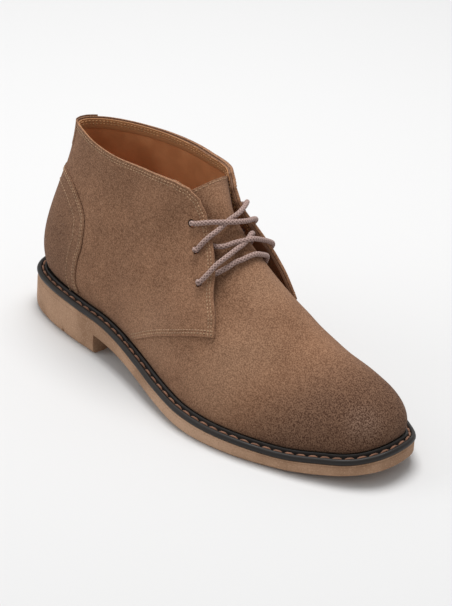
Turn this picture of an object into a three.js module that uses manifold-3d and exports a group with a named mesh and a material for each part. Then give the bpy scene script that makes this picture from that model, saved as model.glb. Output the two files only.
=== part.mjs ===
// Chukka boot for the right foot: a hollow lasted upper on a welted crepe sole.
// Millimetres. Toe along +X, inner side of the foot along +Y, up along +Z.
import * as THREE from 'three';
import { mergeVertices } from 'three/addons/utils/BufferGeometryUtils.js';
import Module from 'manifold-3d';

const wasm = await Module();
wasm.setup();

// Driving sizes
const soleLength = 302;
const ballWidth = 105;
const heelHeight = 24.2;
const heelLength = 79;
const breastHeight = 12.4;
const breastSlant = 1.5;
const forefootThickness = 8.6;
const toeSpring = 8.4;
const collarHeight = 134;
const instepShift = 4;
const weltWidth = 6.8;
const weltHeight = 4.5;
const weltUnder = 5.6;
const upperWall = 2;
const quarterThickness = 1.4;
const lapOffset = 0.02;
const outerFlare = 1.5;
const innerFlare = 5;
const heelRecess = 0.6;
const counterThickness = 1.2;
const tabThickness = 1;
const tabWidth = 19;
const tabHeight = 17;
const tongueThickness = 3.2;
const tongueSink = 2.2;
const insoleThickness = 3;
const laceDiameter = 3.3;
const eyeletDiameter = 4.8;
const treadDepth = 2;
const treadWidth = 2.4;
const treadMargin = 9;
const treadPitch = 9;
const seatGap = 0.3;
const edgeStep = 0.7;
const counterFoot = 3;
const cutterReach = 10;

// Shares of the way round from toe to heel: where the collar loop leaves the ridge, how far
// its front corner is eased, and where the two sides part at the throat
const collarStart = 0.56;
const easeReach = 0.07;
const throatStart = 0.48;

// Shares of the way round where the upper's layers begin and end thinning towards the heel
const thinStart = 0.6;
const thinEnd = 0.8;

// Mesh steps: round one side of the upper, from the welt up to the collar, and round one side
// of the sole
const turnSteps = 50;
const riseSteps = 8;
const soleSteps = 34;

// Edge of the sole unit from floor to top: share of its thickness, and inset in millimetres
const soleEdge = [
  { rise: 0, inset: 1.4 }, { rise: 0.12, inset: 0.2 }, { rise: 0.2, inset: 0 },
  { rise: 0.86, inset: 0 }, { rise: 0.87, inset: edgeStep }, { rise: 1, inset: edgeStep },
];

// Section of the welt: rim, stitch channel, inner rib, then the flange under the upper
const weltProfile = [
  { inset: edgeStep, rise: seatGap }, { inset: -0.3, rise: 1 }, { inset: -0.5, rise: 2.2 },
  { inset: 0, rise: 3.4 }, { inset: 1.2, rise: 4 }, { inset: 2.3, rise: 3.6 },
  { inset: 2.6, rise: 2.4 }, { inset: 4.3, rise: 2.4 }, { inset: 4.6, rise: weltHeight },
  { inset: 5.4, rise: weltHeight + 0.4 }, { inset: weltWidth - 0.6, rise: weltHeight },
  { inset: weltWidth - 0.3, rise: weltHeight - seatGap },
  { inset: weltWidth + weltUnder, rise: weltHeight - seatGap },
  { inset: weltWidth + weltUnder, rise: seatGap },
];

// Tread, as shares of the sole length: the notch through the heel, and the runs of grooves
const heelNotch = 0.155;
const grooveRuns = [[0.07, 0.14], [0.18, 0.23], [0.64, 0.9]];

// Half widths of the sole as shares of the ball width, from toe tip (0) to back of heel (1)
const outlineRows = [
  { at: 0.0, lateral: -0.027, medial: 0.027 },
  { at: 0.05, lateral: 0.09, medial: 0.168 },
  { at: 0.1, lateral: 0.183, medial: 0.251 },
  { at: 0.15, lateral: 0.266, medial: 0.322 },
  { at: 0.2, lateral: 0.336, medial: 0.39 },
  { at: 0.25, lateral: 0.41, medial: 0.443 },
  { at: 0.3, lateral: 0.471, medial: 0.472 },
  { at: 0.35, lateral: 0.527, medial: 0.467 },
  { at: 0.4, lateral: 0.559, medial: 0.437 },
  { at: 0.45, lateral: 0.556, medial: 0.386 },
  { at: 0.5, lateral: 0.506, medial: 0.33 },
  { at: 0.55, lateral: 0.441, medial: 0.29 },
  { at: 0.6, lateral: 0.382, medial: 0.272 },
  { at: 0.65, lateral: 0.344, medial: 0.284 },
  { at: 0.7, lateral: 0.328, medial: 0.305 },
  { at: 0.8, lateral: 0.272, medial: 0.286 },
  { at: 0.9, lateral: 0.173, medial: 0.19 },
  { at: 1.0, lateral: 0.0, medial: 0.0 },
];

// Side view of the sole along its length from the heel. The top is heel, fore and spring
// shares of the heel height, forefoot thickness and toe spring. The underside is arch and
// lift shares of the breast height and the toe spring.
const sideRows = [
  { at: 0.0, heel: 1.0, fore: 0.0, spring: 0.0, arch: 1.0, lift: 0.0 },
  { at: 0.2, heel: 1.0, fore: 0.0, spring: 0.0, arch: 1.0, lift: 0.0 },
  { at: 0.3, heel: 0.89, fore: 0.11, spring: 0.0, arch: 0.97, lift: 0.0 },
  { at: 0.364, heel: 0.72, fore: 0.28, spring: 0.0, arch: 0.85, lift: 0.0 },
  { at: 0.41, heel: 0.58, fore: 0.42, spring: 0.0, arch: 0.69, lift: 0.0 },
  { at: 0.493, heel: 0.31, fore: 0.69, spring: 0.0, arch: 0.35, lift: 0.0 },
  { at: 0.566, heel: 0.14, fore: 0.86, spring: 0.0, arch: 0.11, lift: 0.0 },
  { at: 0.63, heel: 0.045, fore: 0.955, spring: 0.0, arch: 0.0, lift: 0.0 },
  { at: 0.73, heel: 0.0, fore: 1.0, spring: 0.0, arch: 0.0, lift: 0.0 },
  { at: 0.828, heel: 0.0, fore: 1.0, spring: 0.03, arch: 0.0, lift: 0.13 },
  { at: 0.904, heel: 0.0, fore: 1.0, spring: 0.36, arch: 0.0, lift: 0.39 },
  { at: 0.967, heel: 0.0, fore: 1.0, spring: 0.72, arch: 0.0, lift: 0.77 },
  { at: 1.0, heel: 0.0, fore: 1.0, spring: 1.1, arch: 0.0, lift: 1.0 },
];

// Ridge of the vamp and instep: place along the sole length, height of the collar height
const ridgeRows = [
  { at: 0.0, along: 0.849, height: 0.43 },
  { at: 0.1, along: 0.844, height: 0.431 },
  { at: 0.2, along: 0.815, height: 0.445 },
  { at: 0.3, along: 0.746, height: 0.49 },
  { at: 0.38, along: 0.666, height: 0.597 },
  { at: 0.45, along: 0.584, height: 0.752 },
  { at: 0.5, along: 0.523, height: 0.875 },
  { at: 0.53, along: 0.487, height: 0.95 },
  { at: 0.56, along: 0.459, height: 1.015 },
];

// Collar loop: along of the sole length, half widths of the ball width, and its heights as
// shares of the collar height
const collarRows = [
  { at: 0.58, along: 0.445, lateral: -0.119, medial: 0.21 },
  { at: 0.64, along: 0.359, lateral: -0.147, medial: 0.307 },
  { at: 0.7, along: 0.272, lateral: -0.181, medial: 0.305 },
  { at: 0.78, along: 0.181, lateral: -0.161, medial: 0.259 },
  { at: 0.86, along: 0.111, lateral: -0.093, medial: 0.166 },
  { at: 0.93, along: 0.077, lateral: -0.038, medial: 0.08 },
  { at: 1.0, along: 0.0685, lateral: 0.02, medial: 0.02 },
];
const collarHeights = [
  { at: 0.56, lateral: 1.015, medial: 1.015 },
  { at: 0.58, lateral: 1.006, medial: 0.99 },
  { at: 0.64, lateral: 1.004, medial: 1.0 },
  { at: 0.7, lateral: 0.998, medial: 1.005 },
  { at: 0.78, lateral: 1.0, medial: 1.004 },
  { at: 0.86, lateral: 1.005, medial: 1.004 },
  { at: 0.93, lateral: 1.003, medial: 1.001 },
  { at: 1.0, lateral: 1.0, medial: 1.0 },
];

// Side wall of the last. Each rib leaves the welt with a rise (of the collar height) and a
// swell (of the ball width), and comes to the top with a reach (of the ball width) and a
// drop (of the collar height).
const ribRows = [
  {
    at: 0.0, rise: 0.123, drop: 0.022,
    swellLateral: 0.051, swellMedial: 0.051, reachLateral: 0.179, reachMedial: 0.179,
  },
  {
    at: 0.1, rise: 0.134, drop: 0.019,
    swellLateral: 0.048, swellMedial: 0.067, reachLateral: 0.171, reachMedial: 0.2,
  },
  {
    at: 0.2, rise: 0.121, drop: 0.015,
    swellLateral: 0.048, swellMedial: 0.054, reachLateral: 0.19, reachMedial: 0.185,
  },
  {
    at: 0.3, rise: 0.127, drop: 0.022,
    swellLateral: 0.048, swellMedial: 0.038, reachLateral: 0.238, reachMedial: 0.19,
  },
  {
    at: 0.38, rise: 0.183, drop: 0.02,
    swellLateral: 0.048, swellMedial: 0.036, reachLateral: 0.248, reachMedial: 0.196,
  },
  {
    at: 0.45, rise: 0.246, drop: 0.004,
    swellLateral: 0.046, swellMedial: 0.055, reachLateral: 0.229, reachMedial: 0.229,
  },
  {
    at: 0.5, rise: 0.265, drop: 0.026,
    swellLateral: 0.044, swellMedial: 0.062, reachLateral: 0.19, reachMedial: 0.186,
  },
  {
    at: 0.54, rise: 0.28, drop: 0.09,
    swellLateral: 0.05, swellMedial: 0.07, reachLateral: 0.133, reachMedial: 0.145,
  },
  {
    at: 0.58, rise: 0.287, drop: 0.217,
    swellLateral: 0.057, swellMedial: 0.068, reachLateral: 0.057, reachMedial: 0.063,
  },
  {
    at: 0.64, rise: 0.284, drop: 0.268,
    swellLateral: 0.058, swellMedial: 0.067, reachLateral: 0.029, reachMedial: 0.031,
  },
  {
    at: 0.7, rise: 0.282, drop: 0.28,
    swellLateral: 0.064, swellMedial: 0.067, reachLateral: 0.02, reachMedial: 0.029,
  },
  {
    at: 0.78, rise: 0.263, drop: 0.282,
    swellLateral: 0.074, swellMedial: 0.067, reachLateral: 0.012, reachMedial: 0.019,
  },
  {
    at: 0.86, rise: 0.236, drop: 0.284,
    swellLateral: 0.104, swellMedial: 0.077, reachLateral: 0.025, reachMedial: 0.01,
  },
  {
    at: 0.93, rise: 0.212, drop: 0.286,
    swellLateral: 0.114, swellMedial: 0.083, reachLateral: 0.022, reachMedial: 0.01,
  },
  {
    at: 1.0, rise: 0.222, drop: 0.283,
    swellLateral: 0.09, swellMedial: 0.09, reachLateral: 0.014, reachMedial: 0.014,
  },
];

// Side views, along of the sole length and height of the collar height, front edge downwards
const facingEdge = [
  [0.405, 1.03], [0.425, 1.005], [0.442, 0.982], [0.458, 0.949], [0.473, 0.906], [0.487, 0.871],
  [0.5126, 0.809], [0.5368, 0.747], [0.561, 0.672], [0.579, 0.5985], [0.598, 0.5396], [0.616, 0.458],
];
const quarterFoot = [
  [0.599, 0.452], [0.581, 0.4425], [0.541, 0.405], [0.496, 0.357], [0.444, 0.296], [0.407, 0.241],
  [0.375, 0.18], [0.37, 0.1],
];
const throatBack = [
  [0.39, 1.12], [0.41, 0.9], [0.45, 0.78], [0.49, 0.69], [0.53, 0.6], [0.57, 0.5],
];
const vampTop = [[0.61, 0.475], [0.645, 0.53], [0.672, 0.625], [0.7, 0.8]];
const counterEdge = [
  [0.03, 0.79], [0.087, 0.782], [0.119, 0.753], [0.158, 0.695], [0.175, 0.664], [0.185, 0.63],
  [0.187, 0.582], [0.191, 0.494], [0.18, 0.422], [0.177, 0.346], [0.176, 0.274], [0.186, 0.235],
];

// Tongue from under the vamp to its top: edge is how far down the ribs it reaches. Its top
// strap has half widths, a sink below the ridge and a sag at its edges, in millimetres
const tongueRows = [
  { at: 0.335, edge: 0.66, lateral: 15, medial: 11.5, sink: 4, sag: 12 },
  { at: 0.36, edge: 0.52, lateral: 15, medial: 11.5, sink: 4, sag: 12 },
  { at: 0.38, edge: 0.44, lateral: 15, medial: 11.5, sink: 4, sag: 12 },
  { at: 0.42, edge: 0.46, lateral: 15, medial: 11.5, sink: 4, sag: 12 },
  { at: 0.45, edge: 0.56, lateral: 15, medial: 11.5, sink: 4, sag: 12 },
  { at: 0.49, edge: 0.66, lateral: 14.5, medial: 11, sink: 4, sag: 12 },
  { at: 0.51, edge: 0.7, lateral: 13, medial: 11, sink: 4, sag: 12 },
  { at: 0.53, edge: 0.76, lateral: 13, medial: 12.5, sink: 4, sag: 11 },
  { at: 0.56, edge: 0.85, lateral: 13.5, medial: 15, sink: 4, sag: 8 },
];

// How far up its rib the facing's edge lies
const facingRows = [
  { at: 0.42, up: 0.45 }, { at: 0.452, up: 0.582 }, { at: 0.483, up: 0.718 },
  { at: 0.503, up: 0.764 }, { at: 0.53, up: 0.82 }, { at: 0.565, up: 0.924 }, { at: 0.59, up: 1 },
];

// Places of the eyelets in side view, from the top one down
const eyeletRows = [
  { along: 0.4585, height: 0.828 },
  { along: 0.491, height: 0.728 },
  { along: 0.531, height: 0.621 },
];

// Routes of the lace's crossings, from the outer facing to the inner one, in millimetres
const laceRoutes = {
  topOver: [
    [143.2, -15.9, 113.7], [149.4, -12.6, 115.8], [153.4, -7.8, 116.1], [157.4, -3.7, 116.4],
    [160.2, 0.4, 116.3], [161.2, 5, 115.5], [160.8, 12, 113.5], [158.3, 20, 111], [155.6, 25.2, 107.8],
    [152.6, 27.2, 104.2],
  ],
  topUnder: [
    [150.8, -22.1, 100.8], [153.2, -19.2, 105.6], [155.4, -15.2, 109.9], [156.2, -10.2, 112],
    [156.2, -4.6, 114.3], [156.5, 0.6, 116.6], [157, 7, 118.6], [154.4, 15, 119.4],
    [149.6, 22.6, 118.4], [145.6, 25.6, 114.4],
  ],
  middleOver: [
    [162.3, -10.4, 104], [165.2, -3.8, 105.4], [168.3, 1.6, 106.4],
    [169.6, 8, 106], [168.6, 15, 104], [166.4, 22, 101.2], [164.4, 28, 97.6], [161.6, 29.6, 94],
  ],
  middleUnder: [
    [163.3, -30.6, 87.2], [166, -27.5, 91.8], [168, -22.1, 97.5], [169, -16.6, 100.2],
    [168.6, -10.6, 101.4], [168.6, -5.2, 102.9], [168.8, 0.2, 104.5], [167.6, 6, 106.2], [165.8, 10, 106.8],
  ],
  low: [
    [169.6, -14.4, 93.5], [171.6, -8.2, 96.4], [173.3, -4.2, 97.5], [174.5, 0.7, 98.6],
    [174.9, 6, 98.3], [174.5, 11.2, 96],
  ],
};

// Smooth value of one column of a table
function along(rows, column, at) {
  const last = rows.length - 1;
  const place = Math.min(Math.max(at, rows[0].at), rows[last].at);
  let i = 0;
  while (i < last - 1 && place > rows[i + 1].at) i += 1;
  const step = (k) => rows[k + 1].at - rows[k].at;
  const rate = (k) => (rows[k + 1][column] - rows[k][column]) / step(k);
  const slope = (k) => {
    if (k === 0) return rate(0);
    if (k === last) return rate(last - 1);
    return (rate(k) * step(k - 1) + rate(k - 1) * step(k)) / (step(k) + step(k - 1));
  };
  const h = step(i);
  const u = (place - rows[i].at) / h;
  return rows[i][column] * (1 + 2 * u) * (1 - u) ** 2 + slope(i) * h * u * (1 - u) ** 2
    + rows[i + 1][column] * u * u * (3 - 2 * u) + slope(i + 1) * h * u * u * (u - 1);
}

const blend = (from, to, value) => THREE.MathUtils.smoothstep(value, from, to);
const sideName = (side) => (side < 0 ? 'lateral' : 'medial');

// Point of the sole outline, side -1 lateral or +1 medial, turn 0 at the toe and 1 at the heel
function outlinePoint(side, turn) {
  if (turn < 0) return outlinePoint(-side, -turn);
  if (turn > 1) return outlinePoint(-side, 2 - turn);
  const half = along(outlineRows, sideName(side), turn) * ballWidth;
  return new THREE.Vector2(soleLength * (0.5 + 0.5 * Math.cos(Math.PI * turn)), side * half);
}

function outlineNormal(side, turn) {
  const reach = 0.002;
  const run = outlinePoint(side, turn + reach).sub(outlinePoint(side, turn - reach));
  return new THREE.Vector2(run.y, -run.x).multiplyScalar(side).normalize();
}

function insetPoint(side, turn, inset) {
  return outlinePoint(side, turn).addScaledVector(outlineNormal(side, turn), -inset);
}

function soleTop(x) {
  const at = x / soleLength;
  return heelHeight * along(sideRows, 'heel', at) + forefootThickness * along(sideRows, 'fore', at)
    + toeSpring * along(sideRows, 'spring', at);
}

const archHeight = (x) => Math.max(breastHeight * along(sideRows, 'arch', x / soleLength), 0);
const toeLift = (x) => Math.max(toeSpring * along(sideRows, 'lift', x / soleLength), 0);

// Sides and turns in order once round the foot, starting and ending at the back of the heel
function roundTheFoot(steps) {
  const places = [];
  for (let i = 0; i <= steps; i += 1) places.push({ side: -1, turn: 1 - i / steps });
  for (let i = 1; i < steps; i += 1) places.push({ side: 1, turn: i / steps });
  return places;
}

function geometryOf(points, index) {
  const geometry = new THREE.BufferGeometry();
  const numbers = new Float32Array(points.flatMap((p) => [p.x, p.y, p.z]));
  geometry.setAttribute('position', new THREE.BufferAttribute(numbers, 3));
  geometry.setIndex(index);
  return geometry;
}

function solidOf(geometry) {
  const bare = geometry.clone();
  bare.deleteAttribute('normal');
  bare.deleteAttribute('uv');
  const merged = mergeVertices(bare, 1e-4);
  const mesh = new wasm.Mesh({
    numProp: 3,
    vertProperties: new Float32Array(merged.attributes.position.array),
    triVerts: new Uint32Array(merged.index.array),
  });
  return new wasm.Manifold(mesh);
}

function pieceOf(name, solid, look) {
  const cut = solid.getMesh();
  const geometry = new THREE.BufferGeometry();
  geometry.setAttribute('position', new THREE.BufferAttribute(new Float32Array(cut.vertProperties), 3));
  geometry.setIndex(Array.from(cut.triVerts));
  geometry.computeVertexNormals();
  const piece = new THREE.Mesh(geometry, new THREE.MeshStandardMaterial(look));
  piece.name = name;
  return piece;
}

// Closed loops stacked and capped: each cap is a ladder of rungs from side to side
function stackedSolid(loops) {
  const size = loops[0].length;
  const half = size / 2;
  const points = loops.flat();
  const index = [];
  for (let row = 0; row < loops.length - 1; row += 1) {
    for (let c = 0; c < size; c += 1) {
      const a = row * size + c;
      const b = row * size + ((c + 1) % size);
      index.push(a, b, b + size, a, b + size, a + size);
    }
  }
  const top = (loops.length - 1) * size;
  for (let c = 0; c < half; c += 1) {
    const rung = [c, c + 1, (size - c - 1) % size, (size - c) % size];
    const cap = (base, order) => index.push(...order.map((k) => base + rung[k]));
    if (rung[0] !== rung[3]) {
      cap(0, [0, 3, 1]);
      cap(top, [0, 1, 3]);
    }
    if (rung[1] !== rung[2]) {
      cap(0, [1, 3, 2]);
      cap(top, [1, 2, 3]);
    }
  }
  return solidOf(geometryOf(points, index));
}

// Closed loops joined in a ring, the last one back to the first
function ringSolid(loops) {
  const size = loops[0].length;
  const index = [];
  for (let row = 0; row < loops.length; row += 1) {
    const next = (row + 1) % loops.length;
    for (let c = 0; c < size; c += 1) {
      const d = (c + 1) % size;
      index.push(row * size + c, row * size + d, next * size + d);
      index.push(row * size + c, next * size + d, next * size + c);
    }
  }
  return solidOf(geometryOf(loops.flat(), index));
}

// Side view outline pushed through the whole width of the boot
function sidePrism(points) {
  const shape = new THREE.Shape(points.map(([x, z]) => new THREE.Vector2(x, z)));
  const depth = 3 * ballWidth;
  const geometry = new THREE.ExtrudeGeometry(shape, { depth, bevelEnabled: false });
  geometry.rotateX(Math.PI / 2);
  geometry.translate(0, depth / 2, 0);
  return solidOf(geometry);
}

function boxSolid(x0, x1, y0, y1, z0, z1) {
  const geometry = new THREE.BoxGeometry(x1 - x0, y1 - y0, z1 - z0);
  geometry.translate((x0 + x1) / 2, (y0 + y1) / 2, (z0 + z1) / 2);
  return solidOf(geometry);
}

// Smooth run of side view shares as points in millimetres
function sideCurve(shares, steps) {
  const path = new THREE.SplineCurve(
    shares.map(([x, z]) => new THREE.Vector2(x * soleLength, z * collarHeight)),
  );
  return path.getPoints(steps).map((p) => [p.x, p.y]);
}

// Top end of a rib: on the ridge in front of the collar, round the collar loop behind it
function ribTop(side, turn) {
  const ridge = (at) => new THREE.Vector3(
    along(ridgeRows, 'along', at) * soleLength,
    instepShift,
    along(ridgeRows, 'height', at) * collarHeight,
  );
  if (turn <= collarStart) return ridge(turn);
  const corner = ridgeRows[ridgeRows.length - 1];
  const shift = instepShift / ballWidth;
  const start = { at: collarStart, along: corner.along, lateral: shift, medial: shift };
  const rows = [start, ...collarRows];
  const name = sideName(side);
  return new THREE.Vector3(
    along(rows, 'along', turn) * soleLength,
    along(rows, name, turn) * ballWidth,
    along(collarHeights, name, turn) * collarHeight,
  );
}

// Point of the last's surface, up 0 at the welt and 1 at the ridge or collar
function lastPoint(side, turn, up) {
  if (turn < 0) return lastPoint(-side, -turn, up);
  if (turn > 1) return lastPoint(-side, 2 - turn, up);
  if (up > 1 && turn <= collarStart) return lastPoint(-side, turn, 2 - up);
  const foot = insetPoint(side, turn, weltWidth);
  const out = outlineNormal(side, turn);
  const start = new THREE.Vector3(foot.x, foot.y, soleTop(outlinePoint(side, turn).x) + weltHeight);
  const end = ribTop(side, turn);
  const letter = side < 0 ? 'Lateral' : 'Medial';
  const swell = along(ribRows, `swell${letter}`, turn) * ballWidth;
  const reach = along(ribRows, `reach${letter}`, turn) * ballWidth;
  const rise = along(ribRows, 'rise', turn) * collarHeight;
  const drop = along(ribRows, 'drop', turn) * collarHeight;
  const low = new THREE.Vector3(out.x * swell, out.y * swell, rise).add(start);
  const high = new THREE.Vector3(out.x * reach, out.y * reach, -drop).add(end);
  return new THREE.CubicBezierCurve3(start, low, high, end).getPoint(up);
}

// The last eased round the front corner of the collar, where its ribs fan out
function easedPoint(side, turn, up) {
  if (turn < 0 || turn > 1) return lastPoint(side, turn, up);
  const around = blend(throatStart - 0.05, throatStart + 0.06, turn) * (1 - blend(0.64, 0.76, turn));
  const reach = easeReach * around * blend(0.1, 0.6, up);
  if (reach < 1e-6) return lastPoint(side, turn, up);
  const sum = new THREE.Vector3();
  const weights = [1, 4, 7, 8, 7, 4, 1];
  const middle = (weights.length - 1) / 2;
  let total = 0;
  weights.forEach((weight, i) => {
    sum.addScaledVector(lastPoint(side, turn + (reach * (i - middle)) / middle, up), weight);
    total += weight;
  });
  return sum.divideScalar(total);
}

function lastNormal(side, turn, up) {
  const reach = 0.003;
  const lowest = Math.max(up - reach, 0);
  const highest = up + reach > 1 && turn > throatStart ? 1 : up + reach;
  const round = easedPoint(side, turn - reach, up).sub(easedPoint(side, turn + reach, up));
  const rise = easedPoint(side, turn, highest).sub(easedPoint(side, turn, lowest));
  return round.cross(rise).multiplyScalar(-side).normalize();
}

// Point at a distance off the last, outwards
function offLast(side, turn, up, distance) {
  return easedPoint(side, turn, up).addScaledVector(lastNormal(side, turn, up), distance);
}

// Direction straight out of the ridge, in the side view
function ridgeNormal(turn) {
  const reach = 0.004;
  const run = ribTop(1, Math.min(turn + reach, collarStart)).sub(ribTop(1, turn - reach));
  return new THREE.Vector3(run.z, 0, -run.x).normalize();
}

// How far the facings stand up off the tongue, most at their edges
function flareAt(side, turn, up) {
  const around = blend(0.4, 0.46, turn) * (1 - blend(0.585, 0.64, turn));
  const edge = along(facingRows, 'up', turn);
  const most = side < 0 ? outerFlare : innerFlare;
  return most * around * blend(edge - 0.3, edge, up);
}

// Outer face of the upper's base layer, and of the quarters thinning into the welt. Both
// sink towards the heel, where the counter lies on them
const baseFace = (side, turn) => -heelRecess * blend(thinStart, thinEnd, turn);
const quarterFace = (side, turn, up) => baseFace(side, turn) + flareAt(side, turn, up)
  + quarterThickness * blend(0, 0.1, up) * (1 - blend(thinStart, thinEnd, turn));

// Hollow skin once round the last between two distances off it, sewn together along the ridge
function skinSolid(innerAt, outerAt) {
  const places = roundTheFoot(turnSteps);
  const count = places.length;
  const points = [];
  for (const distanceAt of [outerAt, innerAt]) {
    for (const { side, turn } of places) {
      for (let r = 0; r <= riseSteps; r += 1) {
        const up = r / riseSteps;
        points.push(offLast(side, turn, up, distanceAt(side, turn, up)));
      }
    }
  }
  const onRidge = (c, r) => r === riseSteps && c > turnSteps && places[c].turn <= throatStart + 1e-9;
  const vertex = (sheet, c, r) => {
    const column = c % count;
    const home = onRidge(column, r) ? 2 * turnSteps - column : column;
    return (sheet * count + home) * (riseSteps + 1) + r;
  };
  const index = [];
  const quad = (a, b, c, d) => index.push(a, b, c, a, c, d);
  for (let c = 0; c < count; c += 1) {
    for (let r = 0; r < riseSteps; r += 1) {
      quad(vertex(0, c, r), vertex(0, c + 1, r), vertex(0, c + 1, r + 1), vertex(0, c, r + 1));
      quad(vertex(1, c, r + 1), vertex(1, c + 1, r + 1), vertex(1, c + 1, r), vertex(1, c, r));
    }
    quad(vertex(0, c + 1, 0), vertex(0, c, 0), vertex(1, c, 0), vertex(1, c + 1, 0));
    const near = places[c].turn;
    const next = places[(c + 1) % count].turn;
    if (Math.max(near, next) > throatStart + 1e-9) {
      const m = riseSteps;
      quad(vertex(0, c, m), vertex(0, c + 1, m), vertex(1, c + 1, m), vertex(1, c, m));
    }
  }
  return solidOf(geometryOf(points, index));
}

// Turn and up of the surface point seen at a place in side view
function findOnSide(side, alongShare, heightShare) {
  const goal = new THREE.Vector2(alongShare * soleLength, heightShare * collarHeight);
  const miss = (turn, up) => {
    const p = lastPoint(side, turn, up);
    return Math.hypot(p.x - goal.x, p.z - goal.y);
  };
  let best = { turn: 0.5, up: 0.7 };
  let step = 0.16;
  while (step > 1e-4) {
    let found = best;
    for (const [a, b] of [[1, 0], [-1, 0], [0, 1], [0, -1]]) {
      const trial = { turn: best.turn + a * step, up: Math.min(best.up + b * step, 1) };
      if (miss(trial.turn, trial.up) < miss(found.turn, found.up)) found = trial;
    }
    if (found === best) step /= 2;
    best = found;
  }
  return best;
}

// Sole unit: outline loops with a rounded foot and a stepped top edge, arch cut through,
// tread grooves across heel and forefoot
function makeOutsole() {
  const places = roundTheFoot(soleSteps);
  const loops = soleEdge.map(({ rise, inset }) => places.map(({ side, turn }) => {
    const p = insetPoint(side, turn, inset);
    const under = toeLift(p.x);
    return new THREE.Vector3(p.x, p.y, under + rise * (soleTop(p.x) - under));
  }));
  const archEnd = sideRows.find((row) => row.arch === 0).at * soleLength;
  const archSteps = 14;
  const archView = [[heelLength - breastSlant, -cutterReach]];
  for (let i = 0; i <= archSteps; i += 1) {
    const x = heelLength + ((archEnd - heelLength) * i) / archSteps;
    archView.push([x, archHeight(x)]);
  }
  archView.push([archEnd, -cutterReach]);
  return stackedSolid(loops).subtract(sidePrism(archView)).subtract(treadGrooves());
}

// Straight grooves across the tread, kept inside the edge except one through the heel
function treadGrooves() {
  const places = roundTheFoot(24);
  const field = stackedSolid([-1, treadDepth + toeSpring].map((z) => places.map(({ side, turn }) => {
    const p = insetPoint(side, turn, treadMargin);
    return new THREE.Vector3(p.x, p.y, z);
  })));
  const groove = (x, floor) => boxSolid(x, x + treadWidth, -ballWidth, ballWidth, -1, floor);
  let cuts = groove(heelNotch * soleLength, treadDepth);
  for (const [from, to] of grooveRuns) {
    for (let x = from * soleLength; x < to * soleLength; x += treadPitch) {
      cuts = cuts.add(groove(x, toeLift(x) + treadDepth).intersect(field));
    }
  }
  return cuts;
}

// Welt: its section carried once round the sole
function makeWelt() {
  const places = roundTheFoot(soleSteps);
  const loops = weltProfile.map(({ inset, rise }) => places.map(({ side, turn }) => {
    const p = insetPoint(side, turn, inset);
    return new THREE.Vector3(p.x, p.y, soleTop(outlinePoint(side, turn).x) + rise);
  }));
  return ringSolid(loops);
}

// Insole: its wide part lies on the welt's flange, its thick part fills the welt's opening
function makeInsole() {
  const narrow = weltWidth + weltUnder + 2 * seatGap;
  const wide = weltWidth + upperWall + 2 * seatGap;
  const rows = [
    { inset: narrow, rise: 2 * seatGap }, { inset: narrow, rise: weltHeight },
    { inset: wide, rise: weltHeight + 0.1 }, { inset: wide, rise: weltHeight + insoleThickness },
  ];
  const places = roundTheFoot(soleSteps);
  return stackedSolid(rows.map(({ inset, rise }) => places.map(({ side, turn }) => {
    const p = insetPoint(side, turn, inset);
    return new THREE.Vector3(p.x, p.y, soleTop(outlinePoint(side, turn).x) + rise);
  })));
}

// Upper: vamp skin with the throat cut away, quarters as a thicker lapped layer that stands
// up at the facings, and the eyelet holes
function makeUpper() {
  const quarterBack = [[-0.1, 0.1], [-0.1, 1.2], [0.41, 1.2]];
  const quarterView = [
    ...sideCurve(facingEdge, 20), ...sideCurve(quarterFoot, 12), ...sideCurve(quarterBack, 2),
  ];
  const throatFront = [[0.6, 1.2], [0.4, 1.2]];
  const throatView = [
    ...sideCurve(throatBack, 10), ...sideCurve(vampTop, 8), ...sideCurve(throatFront, 1),
  ];
  const vamp = skinSolid(() => -upperWall, baseFace).subtract(sidePrism(throatView));
  const innerAt = (side, turn, up) => flareAt(side, turn, up) - upperWall + lapOffset;
  const quarters = skinSolid(innerAt, quarterFace).intersect(sidePrism(quarterView));
  let upper = vamp.add(quarters);
  for (const side of [-1, 1]) {
    for (const { along: x, height } of eyeletRows) {
      const { turn, up } = findOnSide(side, x, height);
      const axis = lastNormal(side, turn, up);
      const radius = eyeletDiameter / 2;
      const hole = new THREE.CylinderGeometry(radius, radius, 2 * cutterReach, 10);
      hole.applyQuaternion(new THREE.Quaternion().setFromUnitVectors(new THREE.Vector3(0, 1, 0), axis));
      hole.translate(...lastPoint(side, turn, up));
      upper = upper.subtract(solidOf(hole));
    }
  }
  return upper;
}

// Counter patch laid over the back of the quarters, ending just above the welt
function makeCounter() {
  const lowest = heelHeight + weltHeight + counterFoot;
  const [firstPoint] = counterEdge;
  const [endAlong] = counterEdge[counterEdge.length - 1];
  const behind = -ballWidth;
  const view = [
    ...sideCurve(counterEdge, 16),
    [endAlong * soleLength, 0], [behind, 0], [behind, firstPoint[1] * collarHeight],
  ];
  const inner = (side, turn, up) => quarterFace(side, turn, up) + seatGap;
  const outer = (side, turn, up) => inner(side, turn, up) + counterThickness;
  const patch = skinSolid(inner, outer).intersect(sidePrism(view));
  return patch.subtract(boxSolid(behind, soleLength, -ballWidth, ballWidth, behind, lowest));
}

// Reinforcing tab at the top of the back seam
function makeBackTab() {
  const middle = collarRows[collarRows.length - 1].lateral * ballWidth;
  const inner = (side, turn, up) => quarterFace(side, turn, up) + seatGap;
  const outer = (side, turn, up) => inner(side, turn, up) + tabThickness;
  const window = boxSolid(
    -cutterReach, 0.2 * soleLength, middle - tabWidth / 2, middle + tabWidth / 2,
    collarHeight - tabHeight, collarHeight + cutterReach,
  );
  return skinSolid(inner, outer).intersect(window);
}

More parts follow.
